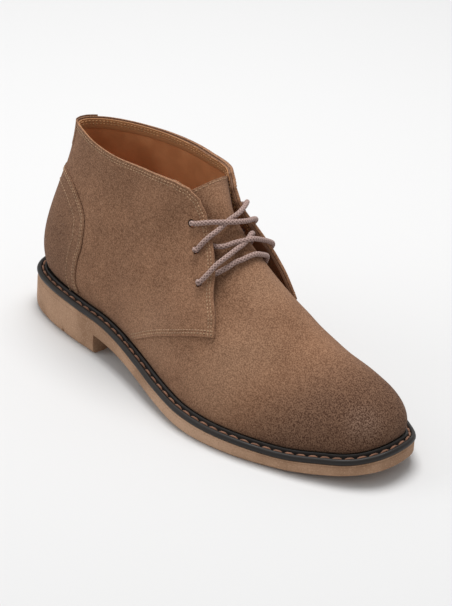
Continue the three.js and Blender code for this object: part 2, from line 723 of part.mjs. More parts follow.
// Tongue: the vamp's surface carried on under the facings, easing into a plain arched strap
// at its top
function makeTongue() {
  const lengthSteps = 14;
  const acrossSteps = 10;
  const first = tongueRows[0].at;
  const last = tongueRows[tongueRows.length - 1].at;
  const loops = [];
  for (let i = 0; i <= lengthSteps; i += 1) {
    const turn = first + ((last - first) * i) / lengthSteps;
    const inwards = ridgeNormal(turn).negate();
    const loop = [];
    const row = (depth, order) => {
      for (const k of order) {
        const across = (2 * k) / acrossSteps - 1;
        const side = across < 0 ? -1 : 1;
        const up = 1 - Math.abs(across) * (1 - along(tongueRows, 'edge', turn));
        const under = offLast(side, turn, up, -upperWall - 2 * seatGap);
        under.addScaledVector(inwards, tongueSink * blend(0.37, 0.42, turn));
        const strap = ribTop(side, Math.min(turn, collarStart));
        strap.y += across * along(tongueRows, sideName(side), turn);
        const sag = along(tongueRows, 'sag', turn) * across ** 2;
        strap.addScaledVector(inwards, along(tongueRows, 'sink', turn) + sag);
        const point = under.lerp(strap, blend(0.44, 0.52, turn));
        loop.push(point.addScaledVector(inwards, depth));
      }
    };
    const order = Array.from({ length: acrossSteps + 1 }, (_, k) => k);
    row(0, order);
    row(tongueThickness, order.reverse());
    loops.push(loop);
  }
  return stackedSolid(loops);
}

// Round lace along a smooth route
function laceRun(points) {
  const places = points.map((p) => new THREE.Vector3(...p));
  const route = new THREE.CatmullRomCurve3(places, false, 'centripetal');
  const section = new THREE.Shape();
  section.absarc(0, 0, laceDiameter / 2, 0, 2 * Math.PI);
  const steps = Math.round(route.getLength() / (1.8 * laceDiameter));
  return solidOf(new THREE.ExtrudeGeometry(section, {
    steps, curveSegments: 4, bevelEnabled: false, extrudePath: route,
  }));
}

const suede = { color: 0x7d5f4c, roughness: 0.95, metalness: 0 };
const darkSuede = { color: 0x6a4c3c, roughness: 0.95, metalness: 0 };
const crepe = { color: 0xc08a52, roughness: 0.85, metalness: 0 };
const weltRubber = { color: 0x3a3230, roughness: 0.6, metalness: 0 };
const leather = { color: 0xb5723d, roughness: 0.6, metalness: 0 };
const cord = { color: 0x94807a, roughness: 0.9, metalness: 0 };

const boot = new THREE.Group();
boot.add(pieceOf('outsole', makeOutsole(), crepe));
boot.add(pieceOf('welt', makeWelt(), weltRubber));
boot.add(pieceOf('insole', makeInsole(), leather));
boot.add(pieceOf('upper', makeUpper(), suede));
boot.add(pieceOf('heel_counter', makeCounter(), darkSuede));
boot.add(pieceOf('back_tab', makeBackTab(), suede));
boot.add(pieceOf('tongue', makeTongue(), suede));
const topLaces = laceRun(laceRoutes.topOver).add(laceRun(laceRoutes.topUnder));
const middleLaces = laceRun(laceRoutes.middleOver).add(laceRun(laceRoutes.middleUnder));
boot.add(pieceOf('lace_top_cross', topLaces, cord));
boot.add(pieceOf('lace_middle_cross', middleLaces, cord));
boot.add(pieceOf('lace_low_bar', laceRun(laceRoutes.low), cord));

// The middle of the sole's length and width stands at the origin
const edges = roundTheFoot(200).map(({ side, turn }) => outlinePoint(side, turn).y);
boot.position.set(-soleLength / 2, -(Math.min(...edges) + Math.max(...edges)) / 2, 0);

export default boot;
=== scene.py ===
# Chukka boot for the right foot, dressed over its solids. Toe +X, inner side +Y, up +Z, metres.
# The surface functions below work in the maker's own measure: millimetres from the back of the
# heel, which toFrame() turns into the shared frame.
import bpy, bmesh, math
import numpy as np
from mathutils import Vector, Matrix


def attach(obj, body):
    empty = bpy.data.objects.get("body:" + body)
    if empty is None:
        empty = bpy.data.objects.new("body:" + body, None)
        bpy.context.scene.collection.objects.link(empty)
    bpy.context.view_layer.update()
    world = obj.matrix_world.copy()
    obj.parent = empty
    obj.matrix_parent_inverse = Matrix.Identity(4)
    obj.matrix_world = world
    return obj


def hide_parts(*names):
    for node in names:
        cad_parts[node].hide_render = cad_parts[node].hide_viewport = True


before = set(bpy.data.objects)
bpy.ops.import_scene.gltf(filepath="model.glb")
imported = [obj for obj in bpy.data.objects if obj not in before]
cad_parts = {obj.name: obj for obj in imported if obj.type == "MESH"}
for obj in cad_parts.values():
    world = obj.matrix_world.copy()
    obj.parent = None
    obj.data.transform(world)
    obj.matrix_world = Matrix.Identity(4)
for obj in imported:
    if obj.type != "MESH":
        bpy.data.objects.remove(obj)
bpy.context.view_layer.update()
print("frame loaded")

# Camera, floor and light

view = {"turn": 47.78, "rise": 29.53, "roll": 3.81, "distance": 1.64025, "focalPixels": 2642.62,
        "target": (0, 0.0046846, 0.055), "centrePixel": (217.2, 303.99)}
studio = {"floorColour": 0.68, "worldStrength": 0.5, "keySize": 0.9, "keyPower": 21,
          "keyPlace": (-0.2, 0.22, 1.5), "fillSize": 1.2, "fillPower": 5.5, "fillPlace": (-1.1, -1.1, 0.8)}


def addObject(name, data):
    holder = bpy.data.objects.new(name, data)
    bpy.context.scene.collection.objects.link(holder)
    return holder


def makeCamera(imageWidth=452, imageHeight=606, sensor=36):
    turn, rise, roll = (math.radians(view[key]) for key in ("turn", "rise", "roll"))
    back = Vector((math.cos(turn) * math.cos(rise), -math.sin(turn) * math.cos(rise), math.sin(rise)))
    right = (-back).cross(Vector((0, 0, 1))).normalized()
    up = right.cross(-back)
    camera = bpy.data.cameras.new("camera")
    camera.sensor_width = sensor
    camera.lens = view["focalPixels"] / imageHeight * sensor
    camera.shift_x = (imageWidth / 2 - view["centrePixel"][0]) / imageHeight
    camera.shift_y = (view["centrePixel"][1] - imageHeight / 2) / imageHeight
    holder = addObject("camera", camera)
    across = math.cos(roll) * right + math.sin(roll) * up
    upright = -math.sin(roll) * right + math.cos(roll) * up
    matrix = Matrix((across, upright, back)).transposed().to_4x4()
    matrix.translation = Vector(view["target"]) + back * view["distance"]
    holder.matrix_world = matrix
    bpy.context.scene.camera = holder


def makeLamp(name, place, size, power):
    lamp = bpy.data.lights.new(name, "AREA")
    lamp.shape = "DISK"
    lamp.size = size
    lamp.energy = power
    holder = addObject(name, lamp)
    holder.location = place
    holder.rotation_euler = (-Vector(place)).to_track_quat("-Z", "Y").to_euler()


def makeStudio(half=30):
    mesh = bpy.data.meshes.new("floor")
    corners = [(-half, -half, 0), (half, -half, 0), (half, half, 0), (-half, half, 0)]
    mesh.from_pydata(corners, [], [(0, 1, 2, 3)])
    addObject("floor", mesh)
    paint = bpy.data.materials.new("floor")
    paint.use_nodes = True
    shader = paint.node_tree.nodes["Principled BSDF"]
    shader.inputs["Base Color"].default_value = (studio["floorColour"],) * 3 + (1,)
    shader.inputs["Roughness"].default_value = 0.9
    mesh.materials.append(paint)
    world = bpy.data.worlds.new("studio")
    world.use_nodes = True
    world.node_tree.nodes["Background"].inputs["Color"].default_value = (1, 1, 1, 1)
    world.node_tree.nodes["Background"].inputs["Strength"].default_value = studio["worldStrength"]
    bpy.context.scene.world = world
    bpy.context.scene.view_settings.view_transform = "Standard"
    makeLamp("key", studio["keyPlace"], studio["keySize"], studio["keyPower"])
    makeLamp("fill", studio["fillPlace"], studio["fillSize"], studio["fillPower"])


makeCamera()
makeStudio()
print("camera and studio made")

# The boot's own sizes and surface

last = {"length": 302, "ball": 105, "heel": 24.2, "heelLength": 79, "breast": 12.4, "fore": 8.6,
        "spring": 8.4, "collar": 134, "shaft": 112, "ridgeShift": 4, "weltWidth": 6.8, "weltHeight": 4.5,
        "wall": 2, "quarter": 1.4, "outerFlare": 1.5, "innerFlare": 5, "heelRecess": 0.6,
        "collarStart": 0.56, "throatStart": 0.48, "easeReach": 0.07, "thinStart": 0.6, "thinEnd": 0.8}


def table(names, rows):
    numbers = np.array(rows, float)
    return {name: numbers[:, k] for k, name in enumerate(names.split())}


# Outline of the sole: half widths as shares of the ball width
outlineRows = table("at lateral medial", [
    (0, -0.027, 0.027), (0.05, 0.09, 0.168), (0.1, 0.183, 0.251), (0.15, 0.266, 0.322), (0.2, 0.336, 0.39),
    (0.25, 0.41, 0.443), (0.3, 0.471, 0.472), (0.35, 0.527, 0.467), (0.4, 0.559, 0.437), (0.45, 0.556, 0.386),
    (0.5, 0.506, 0.33), (0.55, 0.441, 0.29), (0.6, 0.382, 0.272), (0.65, 0.344, 0.284), (0.7, 0.328, 0.305),
    (0.8, 0.272, 0.286), (0.9, 0.173, 0.19), (1, 0, 0)])
# Side view of the sole: top as shares of heel, forefoot and toe spring, underside of breast and spring
sideRows = table("at heel fore spring arch lift", [
    (0, 1, 0, 0, 1, 0), (0.2, 1, 0, 0, 1, 0), (0.3, 0.89, 0.11, 0, 0.97, 0), (0.364, 0.72, 0.28, 0, 0.85, 0),
    (0.41, 0.58, 0.42, 0, 0.69, 0), (0.493, 0.31, 0.69, 0, 0.35, 0), (0.566, 0.14, 0.86, 0, 0.11, 0),
    (0.63, 0.045, 0.955, 0, 0, 0), (0.73, 0, 1, 0, 0, 0), (0.828, 0, 1, 0.03, 0, 0.13),
    (0.904, 0, 1, 0.36, 0, 0.39), (0.967, 0, 1, 0.72, 0, 0.77), (1, 0, 1, 1.1, 0, 1)])
ridgeRows = table("at along height", [
    (0, 0.849, 0.43), (0.1, 0.844, 0.431), (0.2, 0.815, 0.445), (0.3, 0.746, 0.49), (0.38, 0.666, 0.597),
    (0.45, 0.584, 0.752), (0.5, 0.523, 0.875), (0.53, 0.487, 0.95), (0.56, 0.459, 1.015)])
collarRows = table("at along lateral medial lateralHeight medialHeight", [
    (0.56, 0.459, 4 / 105, 4 / 105, 1.015, 1.015), (0.58, 0.445, -0.119, 0.21, 1.006, 0.99),
    (0.64, 0.359, -0.147, 0.307, 1.004, 1), (0.7, 0.272, -0.181, 0.305, 0.998, 1.005),
    (0.78, 0.181, -0.161, 0.259, 1, 1.004), (0.86, 0.111, -0.093, 0.166, 1.005, 1.004),
    (0.93, 0.077, -0.038, 0.08, 1.003, 1.001), (1, 0.0685, 0.02, 0.02, 1, 1)])
# Side wall of the last, rib by rib from the toe round to the heel
ribRows = table("at rise swellLateral swellMedial reachLateral reachMedial drop", [
    (0, 0.123, 0.051, 0.051, 0.179, 0.179, 0.022), (0.1, 0.134, 0.048, 0.067, 0.171, 0.2, 0.019),
    (0.2, 0.121, 0.048, 0.054, 0.19, 0.185, 0.015), (0.3, 0.127, 0.048, 0.038, 0.238, 0.19, 0.022),
    (0.38, 0.183, 0.048, 0.036, 0.248, 0.196, 0.02), (0.45, 0.246, 0.046, 0.055, 0.229, 0.229, 0.004),
    (0.5, 0.265, 0.044, 0.062, 0.19, 0.186, 0.026), (0.54, 0.28, 0.05, 0.07, 0.133, 0.145, 0.09),
    (0.58, 0.287, 0.057, 0.068, 0.057, 0.063, 0.217), (0.64, 0.284, 0.058, 0.067, 0.029, 0.031, 0.268),
    (0.7, 0.282, 0.064, 0.067, 0.02, 0.029, 0.28), (0.78, 0.263, 0.074, 0.067, 0.012, 0.019, 0.282),
    (0.86, 0.236, 0.104, 0.077, 0.025, 0.01, 0.284), (0.93, 0.212, 0.114, 0.083, 0.022, 0.01, 0.286),
    (1, 0.222, 0.09, 0.09, 0.014, 0.014, 0.283)])
facingRows = table("at up", [(0.42, 0.45), (0.452, 0.582), (0.483, 0.718), (0.503, 0.764), (0.53, 0.82),
                             (0.565, 0.924), (0.59, 1)])


def along(rows, column, at):
    x, y = rows["at"], rows[column]
    place = np.clip(at, x[0], x[-1])
    i = np.searchsorted(x[1:-1], place, side="left")
    step = np.diff(x)
    rate = np.diff(y) / step
    slope = np.empty_like(y)
    slope[0], slope[-1] = rate[0], rate[-1]
    slope[1:-1] = (rate[1:] * step[:-1] + rate[:-1] * step[1:]) / (step[1:] + step[:-1])
    h = step[i]
    u = (place - x[i]) / h
    return (y[i] * (1 + 2 * u) * (1 - u) ** 2 + slope[i] * h * u * (1 - u) ** 2
            + y[i + 1] * u * u * (3 - 2 * u) + slope[i + 1] * h * u * u * (u - 1))


def blend(start, end, value):
    t = np.clip((value - start) / (end - start), 0, 1)
    return t * t * (3 - 2 * t)


def unit(vectors):
    return vectors / np.maximum(np.linalg.norm(vectors, axis=-1, keepdims=True), 1e-12)


def folded(side, turn):
    flip = (turn < 0) | (turn > 1)
    return np.where(flip, -side, side), np.where(turn < 0, -turn, np.where(turn > 1, 2 - turn, turn))


def bySide(side, rows, lateral, medial, at):
    return np.where(side < 0, along(rows, lateral, at), along(rows, medial, at))


def outlinePoint(side, turn):
    side, turn = folded(side, turn)
    half = bySide(side, outlineRows, "lateral", "medial", turn) * last["ball"]
    return np.stack([last["length"] * (0.5 + 0.5 * np.cos(np.pi * turn)), side * half], -1)


def outlineNormal(side, turn, reach=0.002):
    run = outlinePoint(side, turn + reach) - outlinePoint(side, turn - reach)
    return unit(np.stack([run[..., 1], -run[..., 0]], -1) * np.asarray(side, float)[..., None])


def soleTop(x):
    at = x / last["length"]
    return (last["heel"] * along(sideRows, "heel", at) + last["fore"] * along(sideRows, "fore", at)
            + last["spring"] * along(sideRows, "spring", at))


def soleUnder(x):
    at = x / last["length"]
    lift = np.maximum(last["spring"] * along(sideRows, "lift", at), 0)
    arch = np.maximum(last["breast"] * along(sideRows, "arch", at), 0)
    return lift + np.where(x > last["heelLength"], arch, 0)


def ribTop(side, turn):
    onRidge = turn <= last["collarStart"]
    x = np.where(onRidge, along(ridgeRows, "along", turn), along(collarRows, "along", turn)) * last["length"]
    half = bySide(side, collarRows, "lateral", "medial", turn) * last["ball"]
    y = np.where(onRidge, last["ridgeShift"], half)
    loop = bySide(side, collarRows, "lateralHeight", "medialHeight", turn)
    z = np.where(onRidge, along(ridgeRows, "height", turn), loop) * last["collar"]
    return np.stack([x, y, z], -1)


def lastPoint(side, turn, up):
    side, turn = folded(side, turn)
    over = (up > 1) & (turn <= last["collarStart"])
    side = np.where(over, -side, side)
    u = np.where(over, 2 - up, up)[..., None]
    out = outlineNormal(side, turn)
    edge = outlinePoint(side, turn)
    start = np.concatenate([edge - out * last["weltWidth"],
                            (soleTop(edge[..., 0]) + last["weltHeight"])[..., None]], -1)
    end = ribTop(side, turn)
    swell = bySide(side, ribRows, "swellLateral", "swellMedial", turn) * last["ball"]
    reach = bySide(side, ribRows, "reachLateral", "reachMedial", turn) * last["ball"]
    rise = along(ribRows, "rise", turn) * last["collar"]
    drop = along(ribRows, "drop", turn) * last["collar"]
    low = start + np.stack([out[..., 0] * swell, out[..., 1] * swell, rise], -1)
    high = end + np.stack([out[..., 0] * reach, out[..., 1] * reach, -drop], -1)
    return start * (1 - u) ** 3 + 3 * low * u * (1 - u) ** 2 + 3 * high * u * u * (1 - u) + end * u ** 3


def spread(side, turn, up):
    return np.broadcast_arrays(np.asarray(side, float), np.asarray(turn, float), np.asarray(up, float))


def easedPoint(side, turn, up):
    side, turn, up = spread(side, turn, up)
    start = last["throatStart"]
    around = blend(start - 0.05, start + 0.06, turn) * (1 - blend(0.64, 0.76, turn))
    reach = last["easeReach"] * around * blend(0.1, 0.6, up)
    weights = (1, 4, 7, 8, 7, 4, 1)
    taps = [weight * lastPoint(side, turn + reach * (k - 3) / 3, up) for k, weight in enumerate(weights)]
    return sum(taps) / sum(weights)


def lastNormal(side, turn, up, reach=0.003):
    side, turn, up = spread(side, turn, up)
    lowest = np.maximum(up - reach, 0)
    highest = np.where((up + reach > 1) & (turn > last["throatStart"]), 1, up + reach)
    run = easedPoint(side, turn - reach, up) - easedPoint(side, turn + reach, up)
    rise = easedPoint(side, turn, highest) - easedPoint(side, turn, lowest)
    return unit(np.cross(run, rise) * -side[..., None])


def offLast(side, turn, up, distance):
    distance = np.asarray(distance, float) + 0 * np.asarray(turn, float)
    return easedPoint(side, turn, up) + lastNormal(side, turn, up) * distance[..., None]


def flareAt(side, turn, up):
    around = blend(0.4, 0.46, turn) * (1 - blend(0.585, 0.64, turn))
    edge = along(facingRows, "up", turn)
    most = np.where(np.asarray(side) < 0, last["outerFlare"], last["innerFlare"])
    return most * around * blend(edge - 0.3, edge, up)


def heelThin(turn):
    return blend(last["thinStart"], last["thinEnd"], turn)


def quarterFace(side, turn, up):
    thick = last["quarter"] * blend(0, 0.1, up) * (1 - heelThin(turn))
    return -last["heelRecess"] * heelThin(turn) + flareAt(side, turn, up) + thick


def toFrame(points):
    return (np.asarray(points, float) - (last["length"] / 2, -4.6846, 0)) / 1000


# Finishes


# A socket that can be added, subtracted and multiplied like a number, on either side of one
class Value:
    def __init__(self, finish, socket):
        self.finish = finish
        self.socket = socket

    def join(self, operation, first, second):
        return self.finish.node("ShaderNodeMath", {"operation": operation}, {0: first, 1: second})

    def __add__(self, other):
        return self.join("ADD", self, other)

    def __radd__(self, other):
        return self.join("ADD", other, self)

    def __sub__(self, other):
        return self.join("SUBTRACT", self, other)

    def __rsub__(self, other):
        return self.join("SUBTRACT", other, self)

    def __mul__(self, other):
        return self.join("MULTIPLY", self, other)

    def __rmul__(self, other):
        return self.join("MULTIPLY", other, self)


# One procedural material and the few nodes that all of them share
class Finish:
    def __init__(self, name, **constants):
        self.material = bpy.data.materials.new(name)
        self.material.use_nodes = True
        self.tree = self.material.node_tree
        self.shader = self.tree.nodes["Principled BSDF"]
        for key, value in constants.items():
            self.shader.inputs[key.replace("_", " ")].default_value = value
        self.place = self.node("ShaderNodeTexCoord", output="Object")

    def node(self, kind, settings=None, inputs=None, output=0):
        item = self.tree.nodes.new(kind)
        for key, value in (settings or {}).items():
            setattr(item, key, value)
        for key, value in (inputs or {}).items():
            if isinstance(value, Value):
                self.tree.links.new(value.socket, item.inputs[key])
            else:
                item.inputs[key].default_value = value
        return Value(self, item.outputs[output])

    def noise(self, sizeMm, detail=2, roughness=0.5, place=None):
        return self.node("ShaderNodeTexNoise", {}, {
            "Vector": place or self.place, "Scale": 1000 / sizeMm, "Detail": detail, "Roughness": roughness})

    def smooth(self, value, start, end, low=0, high=1):
        return self.node("ShaderNodeMapRange", {"interpolation_type": "SMOOTHSTEP"}, {
            "Value": value, "From Min": start, "From Max": end, "To Min": low, "To Max": high})

    def stretched(self, x, y, z):
        return self.node("ShaderNodeVectorMath", {"operation": "MULTIPLY"}, {0: self.place, 1: (x, y, z)})

    def axis(self, letter):
        return self.node("ShaderNodeSeparateXYZ", {}, {"Vector": self.place}, letter)

    def near(self, centre, radiusMm, edge=0.5):
        ends = {0: self.place, 1: centre}
        gap = self.node("ShaderNodeVectorMath", {"operation": "DISTANCE"}, ends, "Value")
        return self.smooth(gap, radiusMm / 1000, radiusMm / 1000 * edge)

    def mix(self, share, first, second):
        first, second = (c if isinstance(c, Value) else (*c, 1) for c in (first, second))
        return self.node("ShaderNodeMix", {"data_type": "RGBA"}, {0: share, 6: first, 7: second}, 2)

    def bump(self, height, strength, distanceMm):
        return self.node("ShaderNodeBump", {}, {
            "Height": height, "Strength": strength, "Distance": distanceMm / 1000}, "Normal")

    def done(self, **feeds):
        for key, value in feeds.items():
            self.tree.links.new(value.socket, self.shader.inputs[key.replace("_", " ")])
        return self.material


suede = {"base": (0.292, 0.146, 0.08), "shade": (0.205, 0.097, 0.051), "lit": (0.42, 0.245, 0.15),
         # the next dark colour darkens the toe and paints shade at the back of the heel
         "shadeAndDarkening": (0.06, 0.027, 0.018), "worn": (0.26, 0.185, 0.15), "ground": (0.06, 0.026, 0.014),
         "grainMm": 0.85, "napMm": 3.4, "cloudMm": 22, "relief": 0.7,
         # painted light: centres in metres and radii in mm of soft light pools on the vamp and the lateral
         # quarter
         "paintedLightSpots": ((0.043, -0.047, 0.035, 34), (0.055, -0.03, 0.06, 34), (0.038, 0.004, 0.082, 26),
                     (-0.02, -0.045, 0.04, 40)),
         "rubbed": (0.1351, -0.0084, 0.0372, 17)}


def suedeFinish(name, burn=0.0, tint=1.0):
    finish = Finish(name, Roughness=0.95, Sheen_Weight=0.04, Sheen_Roughness=0.5, Specular_IOR_Level=0.12)
    grain = finish.noise(suede["grainMm"], 3, 0.7)
    nap = finish.noise(suede["napMm"], 4, 0.6)
    cloud = finish.noise(suede["cloudMm"], 3, 0.5)
    x, z = finish.axis("X"), finish.axis("Z")
    shade, base, lit = (tuple(tint * c for c in suede[key]) for key in ("shade", "base", "lit"))
    tone = finish.mix(finish.smooth(cloud, 0.32, 0.68), shade, base)
    # Painted light: soft lighter pools at fixed places on the vamp and the lateral quarter
    paintedLightSpots = sum(finish.near(spot[:3], spot[3], 0.1) for spot in suede["paintedLightSpots"])
    tone = finish.mix(paintedLightSpots * 0.45, tone, lit)
    tone = finish.mix(finish.smooth(nap, 0.4, 0.7) * 0.2, tone, lit)
    # Darker toward the toe tip and low round the toe. Painted shade low on the back of the heel, where the
    # surface turns from the light. burn darkens a whole piece evenly.
    toe = finish.smooth(x + cloud * 0.04 - z * 0.7, 0.056, 0.108)
    toe = toe * finish.smooth(z, 0.09, 0.04, 0.3, 1)
    heel = finish.smooth(x - cloud * 0.02, -0.092, -0.128) * finish.smooth(z, 0.11, 0.05, 0.1, 1)
    shadeAndDarkening = finish.node("ShaderNodeMath", {"operation": "MAXIMUM", "use_clamp": True},
                        {0: toe * 0.96, 1: heel * 0.36 + burn})
    tone = finish.mix(shadeAndDarkening, tone, suede["shadeAndDarkening"])
    rubbed = finish.near(suede["rubbed"][:3], suede["rubbed"][3], 0.1) * finish.smooth(grain, 0.4, 0.6)
    tone = finish.mix(rubbed * 0.6, tone, suede["worn"])
    fibre = finish.smooth(grain, 0.36, 0.64)
    tone = finish.mix(fibre, finish.mix(0.5, tone, suede["ground"]), finish.mix(0.42, tone, lit))
    relief = grain * 0.8 + nap * 0.5
    return finish.done(Base_Color=tone, Normal=finish.bump(relief, suede["relief"], 0.5))


# The lining and the collar band are one tan leather. The lining's base is made lighter, painted light
# standing in for light the shadowed inside of the boot lacks. The band colour is a darker, shaded copy for
# the direct light it catches.
lining = {"base": (0.68, 0.31, 0.135), "deep": (0.54, 0.225, 0.09), "band": (0.46, 0.22, 0.095),
          # throat: painted shade for the deep front of the inside, the throat strip and the lining's cut
          # edges
          "throat": (0.16, 0.075, 0.038), "relief": 0.25}


def liningFinish(name, base, deep):
    finish = Finish(name, Roughness=0.52, Specular_IOR_Level=0.35)
    grain = finish.noise(1.1, 4, 0.6)
    cloud = finish.noise(19, 3)
    tone = finish.mix(finish.smooth(cloud, 0.32, 0.68), deep, base)
    tone = finish.mix(finish.smooth(grain, 0.55, 0.8) * 0.25, tone, deep)
    # Painted shade: forward of about x = -22 mm the inside goes toward the throat colour, deep under the vamp
    tone = finish.mix(finish.smooth(finish.axis("X"), -0.022, 0.0) * 0.85, tone, lining["throat"])
    return finish.done(Base_Color=tone, Normal=finish.bump(grain, lining["relief"], 0.25))


crepe = {"base": (0.42, 0.255, 0.158), "dark": (0.29, 0.165, 0.095), "light": (0.56, 0.37, 0.25),
         # painted light: centre in metres and radius in mm of a light pool on the sole's side
         "solePaintedLight": (0.03, -0.045, 0.01, 62)}


def crepeFinish():
    finish = Finish("crepe rubber", Roughness=0.78, Specular_IOR_Level=0.3)
    pits = finish.noise(1.0, 4, 0.7)
    waves = finish.noise(1, 3, 0.55, finish.stretched(0.06, 0.06, 0.5))
    cloud = finish.noise(24, 2)
    tone = finish.mix(finish.smooth(cloud, 0.35, 0.65), crepe["dark"], crepe["base"])
    # Painted light: a lighter pool on the middle of the sole's lateral side
    tone = finish.mix(finish.near(crepe["solePaintedLight"][:3], crepe["solePaintedLight"][3], 0.2) * 0.6, tone, crepe["light"])
    tone = finish.mix(finish.smooth(pits, 0.5, 0.7) * 0.6, tone, crepe["light"])
    tone = finish.mix(finish.smooth(pits, 0.48, 0.32) * 0.75, tone, crepe["dark"])
    return finish.done(Base_Color=tone, Normal=finish.bump(pits * 0.7 + waves * 0.5, 0.4, 0.4))


rubber = {"base": (0.0135, 0.0108, 0.0095), "dusty": (0.03, 0.024, 0.02)}


def rubberFinish():
    finish = Finish("welt rubber", Roughness=0.5, Specular_IOR_Level=0.32)
    speck = finish.noise(0.8, 3, 0.6)
    cloud = finish.noise(11, 3)
    tone = finish.mix(finish.smooth(cloud, 0.4, 0.75) * 0.5, rubber["base"], rubber["dusty"])
    rough = finish.smooth(cloud, 0.3, 0.7, 0.42, 0.6)
    return finish.done(Base_Color=tone, Roughness=rough, Normal=finish.bump(speck, 0.15, 0.2))


thread = {"tan": (0.47, 0.29, 0.17), "brown": (0.31, 0.15, 0.09), "rust": (0.62, 0.33, 0.15)}


def threadFinish(name, colour):
    finish = Finish(name, Roughness=0.7, Specular_IOR_Level=0.3, Sheen_Weight=0.1)
    fibre = finish.noise(0.35, 2, 0.5)
    length = finish.noise(4, 2)
    dim = tuple(0.6 * c for c in colour)
    tone = finish.mix(finish.smooth(length, 0.3, 0.7), dim, colour)
    return finish.done(Base_Color=tone, Normal=finish.bump(fibre, 0.3, 0.1))


lace = {"base": (0.43, 0.3, 0.265), "dark": (0.17, 0.108, 0.092), "light": (0.58, 0.445, 0.4),
        "diameter": 3.3, "strands": 8, "pitch": 9.0, "relief": 0.17}


def laceFinish():
    finish = Finish("braided lace", Roughness=0.85, Sheen_Weight=0.12, Specular_IOR_Level=0.2)
    depth = finish.node("ShaderNodeAttribute", {"attribute_name": "braid"}, {}, "Fac")
    fibre = finish.noise(0.28, 2, 0.6)
    # Painted shade in the grooves between the braid's strands and painted highlight on their crests, both
    # read from the braid attribute
    tone = finish.mix(finish.smooth(depth, 0.1, 0.75), lace["dark"], lace["base"])
    tone = finish.mix(finish.smooth(depth * 0.6 + fibre * 0.6, 0.65, 1.0) * 0.7, tone, lace["light"])
    return finish.done(Base_Color=tone, Normal=finish.bump(fibre, 0.35, 0.12))


finishes = {
    "suede": suedeFinish("suede with painted light and shade"),
    "counter": suedeFinish("counter suede, darker, with painted shade", burn=0.16, tint=0.95),
    "edge": suedeFinish("cut suede edge", tint=1.15),
    "lining": liningFinish("lining leather, painted light and shade", lining["base"], lining["deep"]),
    "band": liningFinish("collar facing leather, shaded copy", lining["band"], lining["band"]),
    "throat": liningFinish("throat facing painted shade", lining["throat"], lining["throat"]),
    "crepe": crepeFinish(),
    "rubber": rubberFinish(),
    "tanThread": threadFinish("tan thread", thread["tan"]),
    "rustThread": threadFinish("rust thread", thread["rust"]),
    "brownThread": threadFinish("brown thread", thread["brown"]),
    "lace": laceFinish(),
}
print("finishes made")

# Mesh helpers


def makePiece(name, points, faces, finish, replaced=(), sharpAngle=None, backFinish=None, backFaces=()):
    mesh = bpy.data.meshes.new(name)
    mesh.from_pydata(toFrame(points).tolist(), [], faces)
    mesh.materials.append(finishes[finish])
    if backFinish:
        mesh.materials.append(finishes[backFinish])
        for index in backFaces:
            mesh.polygons[index].material_index = 1
    work = bmesh.new()
    work.from_mesh(mesh)
    bmesh.ops.remove_doubles(work, verts=work.verts, dist=1e-6)
    bmesh.ops.recalc_face_normals(work, faces=work.faces)
    work.to_mesh(mesh)
    work.free()
    mesh.shade_smooth()
    if sharpAngle:
        mesh.set_sharp_from_angle(angle=math.radians(sharpAngle))
    piece = addObject(name, mesh)
    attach(piece, "root")
    if replaced:
        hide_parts(*replaced)
    return piece


def gridFaces(rows, columns, start=0, closedColumns=False):
    faces = []
    for r in range(rows - 1):
        for c in range(columns if closedColumns else columns - 1):
            d = (c + 1) % columns
            faces.append((start + r * columns + c, start + r * columns + d,
                          start + (r + 1) * columns + d, start + (r + 1) * columns + c))
    return faces


# Two sheets of points joined round their edges by a rounded lip
def makeShell(outer, inner, lipSteps=3, bulge=1.0):
    rows, columns = outer.shape[:2]
    size = rows * columns
    faces = gridFaces(rows, columns)
    front = len(faces)
    faces += [tuple(size + k for k in reversed(face)) for face in gridFaces(rows, columns)]
    loop = [(0, c) for c in range(columns)] + [(r, columns - 1) for r in range(1, rows)]
    loop += [(rows - 1, c) for c in range(columns - 2, -1, -1)] + [(r, 0) for r in range(rows - 2, 0, -1)]
    inward = [(min(max(r, 1), rows - 2), min(max(c, 1), columns - 2)) for r, c in loop]
    edge, within = tuple(np.array(loop).T), tuple(np.array(inward).T)
    top, bottom = outer[edge], inner[edge]
    away = unit(top + bottom - outer[within] - inner[within])
    middle, half = (top + bottom) / 2, (top - bottom) / 2
    radius = np.linalg.norm(half, axis=-1, keepdims=True) * bulge
    rings = [[r * columns + c for r, c in loop]]
    points = [outer.reshape(-1, 3), inner.reshape(-1, 3)]
    for k in range(1, lipSteps + 1):
        angle = math.pi * k / (lipSteps + 1)
        points.append(middle + half * math.cos(angle) + away * radius * math.sin(angle))
        rings.append([2 * size + (k - 1) * len(loop) + i for i in range(len(loop))])
    rings.append([size + r * columns + c for r, c in loop])
    for near, far in zip(rings, rings[1:]):
        for i in range(len(loop)):
            j = (i + 1) % len(loop)
            faces.append((near[i], near[j], far[j], far[i]))
    return np.concatenate(points), faces, range(front, len(faces))


def makeSheet(name, outer, inner, finish, replaced):
    points, faces, _ = makeShell(outer, inner)
    makePiece(name, points, faces, finish, replaced)


# Distance gone along a line at each of its points
def reachAlong(line):
    return np.concatenate([[0], np.cumsum(np.linalg.norm(np.diff(line, axis=0), axis=1))])


# Sole unit

sole = {"steps": 150, "notch": (46.9, 48.7), "notchDeep": 1.4, "grooveWide": 2.4, "grooveDeep": 2,
        "margin": 9, "runs": ((0.07, 0.14), (0.18, 0.23), (0.64, 0.9)), "pitch": 9, "foot": 2.2,
        "toeRound": 0.9, "lid": 8,
        "edge": ((0, 2.2), (0.03, 1.2), (0.08, 0.5), (0.15, 0.12), (0.24, 0), (0.84, 0), (0.86, 0.08),
                 (0.875, 0.28), (0.89, 0.32), (0.93, 0.25), (0.985, 0.35), (1, 0.7))}


def turnAt(x):
    return math.acos(2 * x / last["length"] - 1) / math.pi


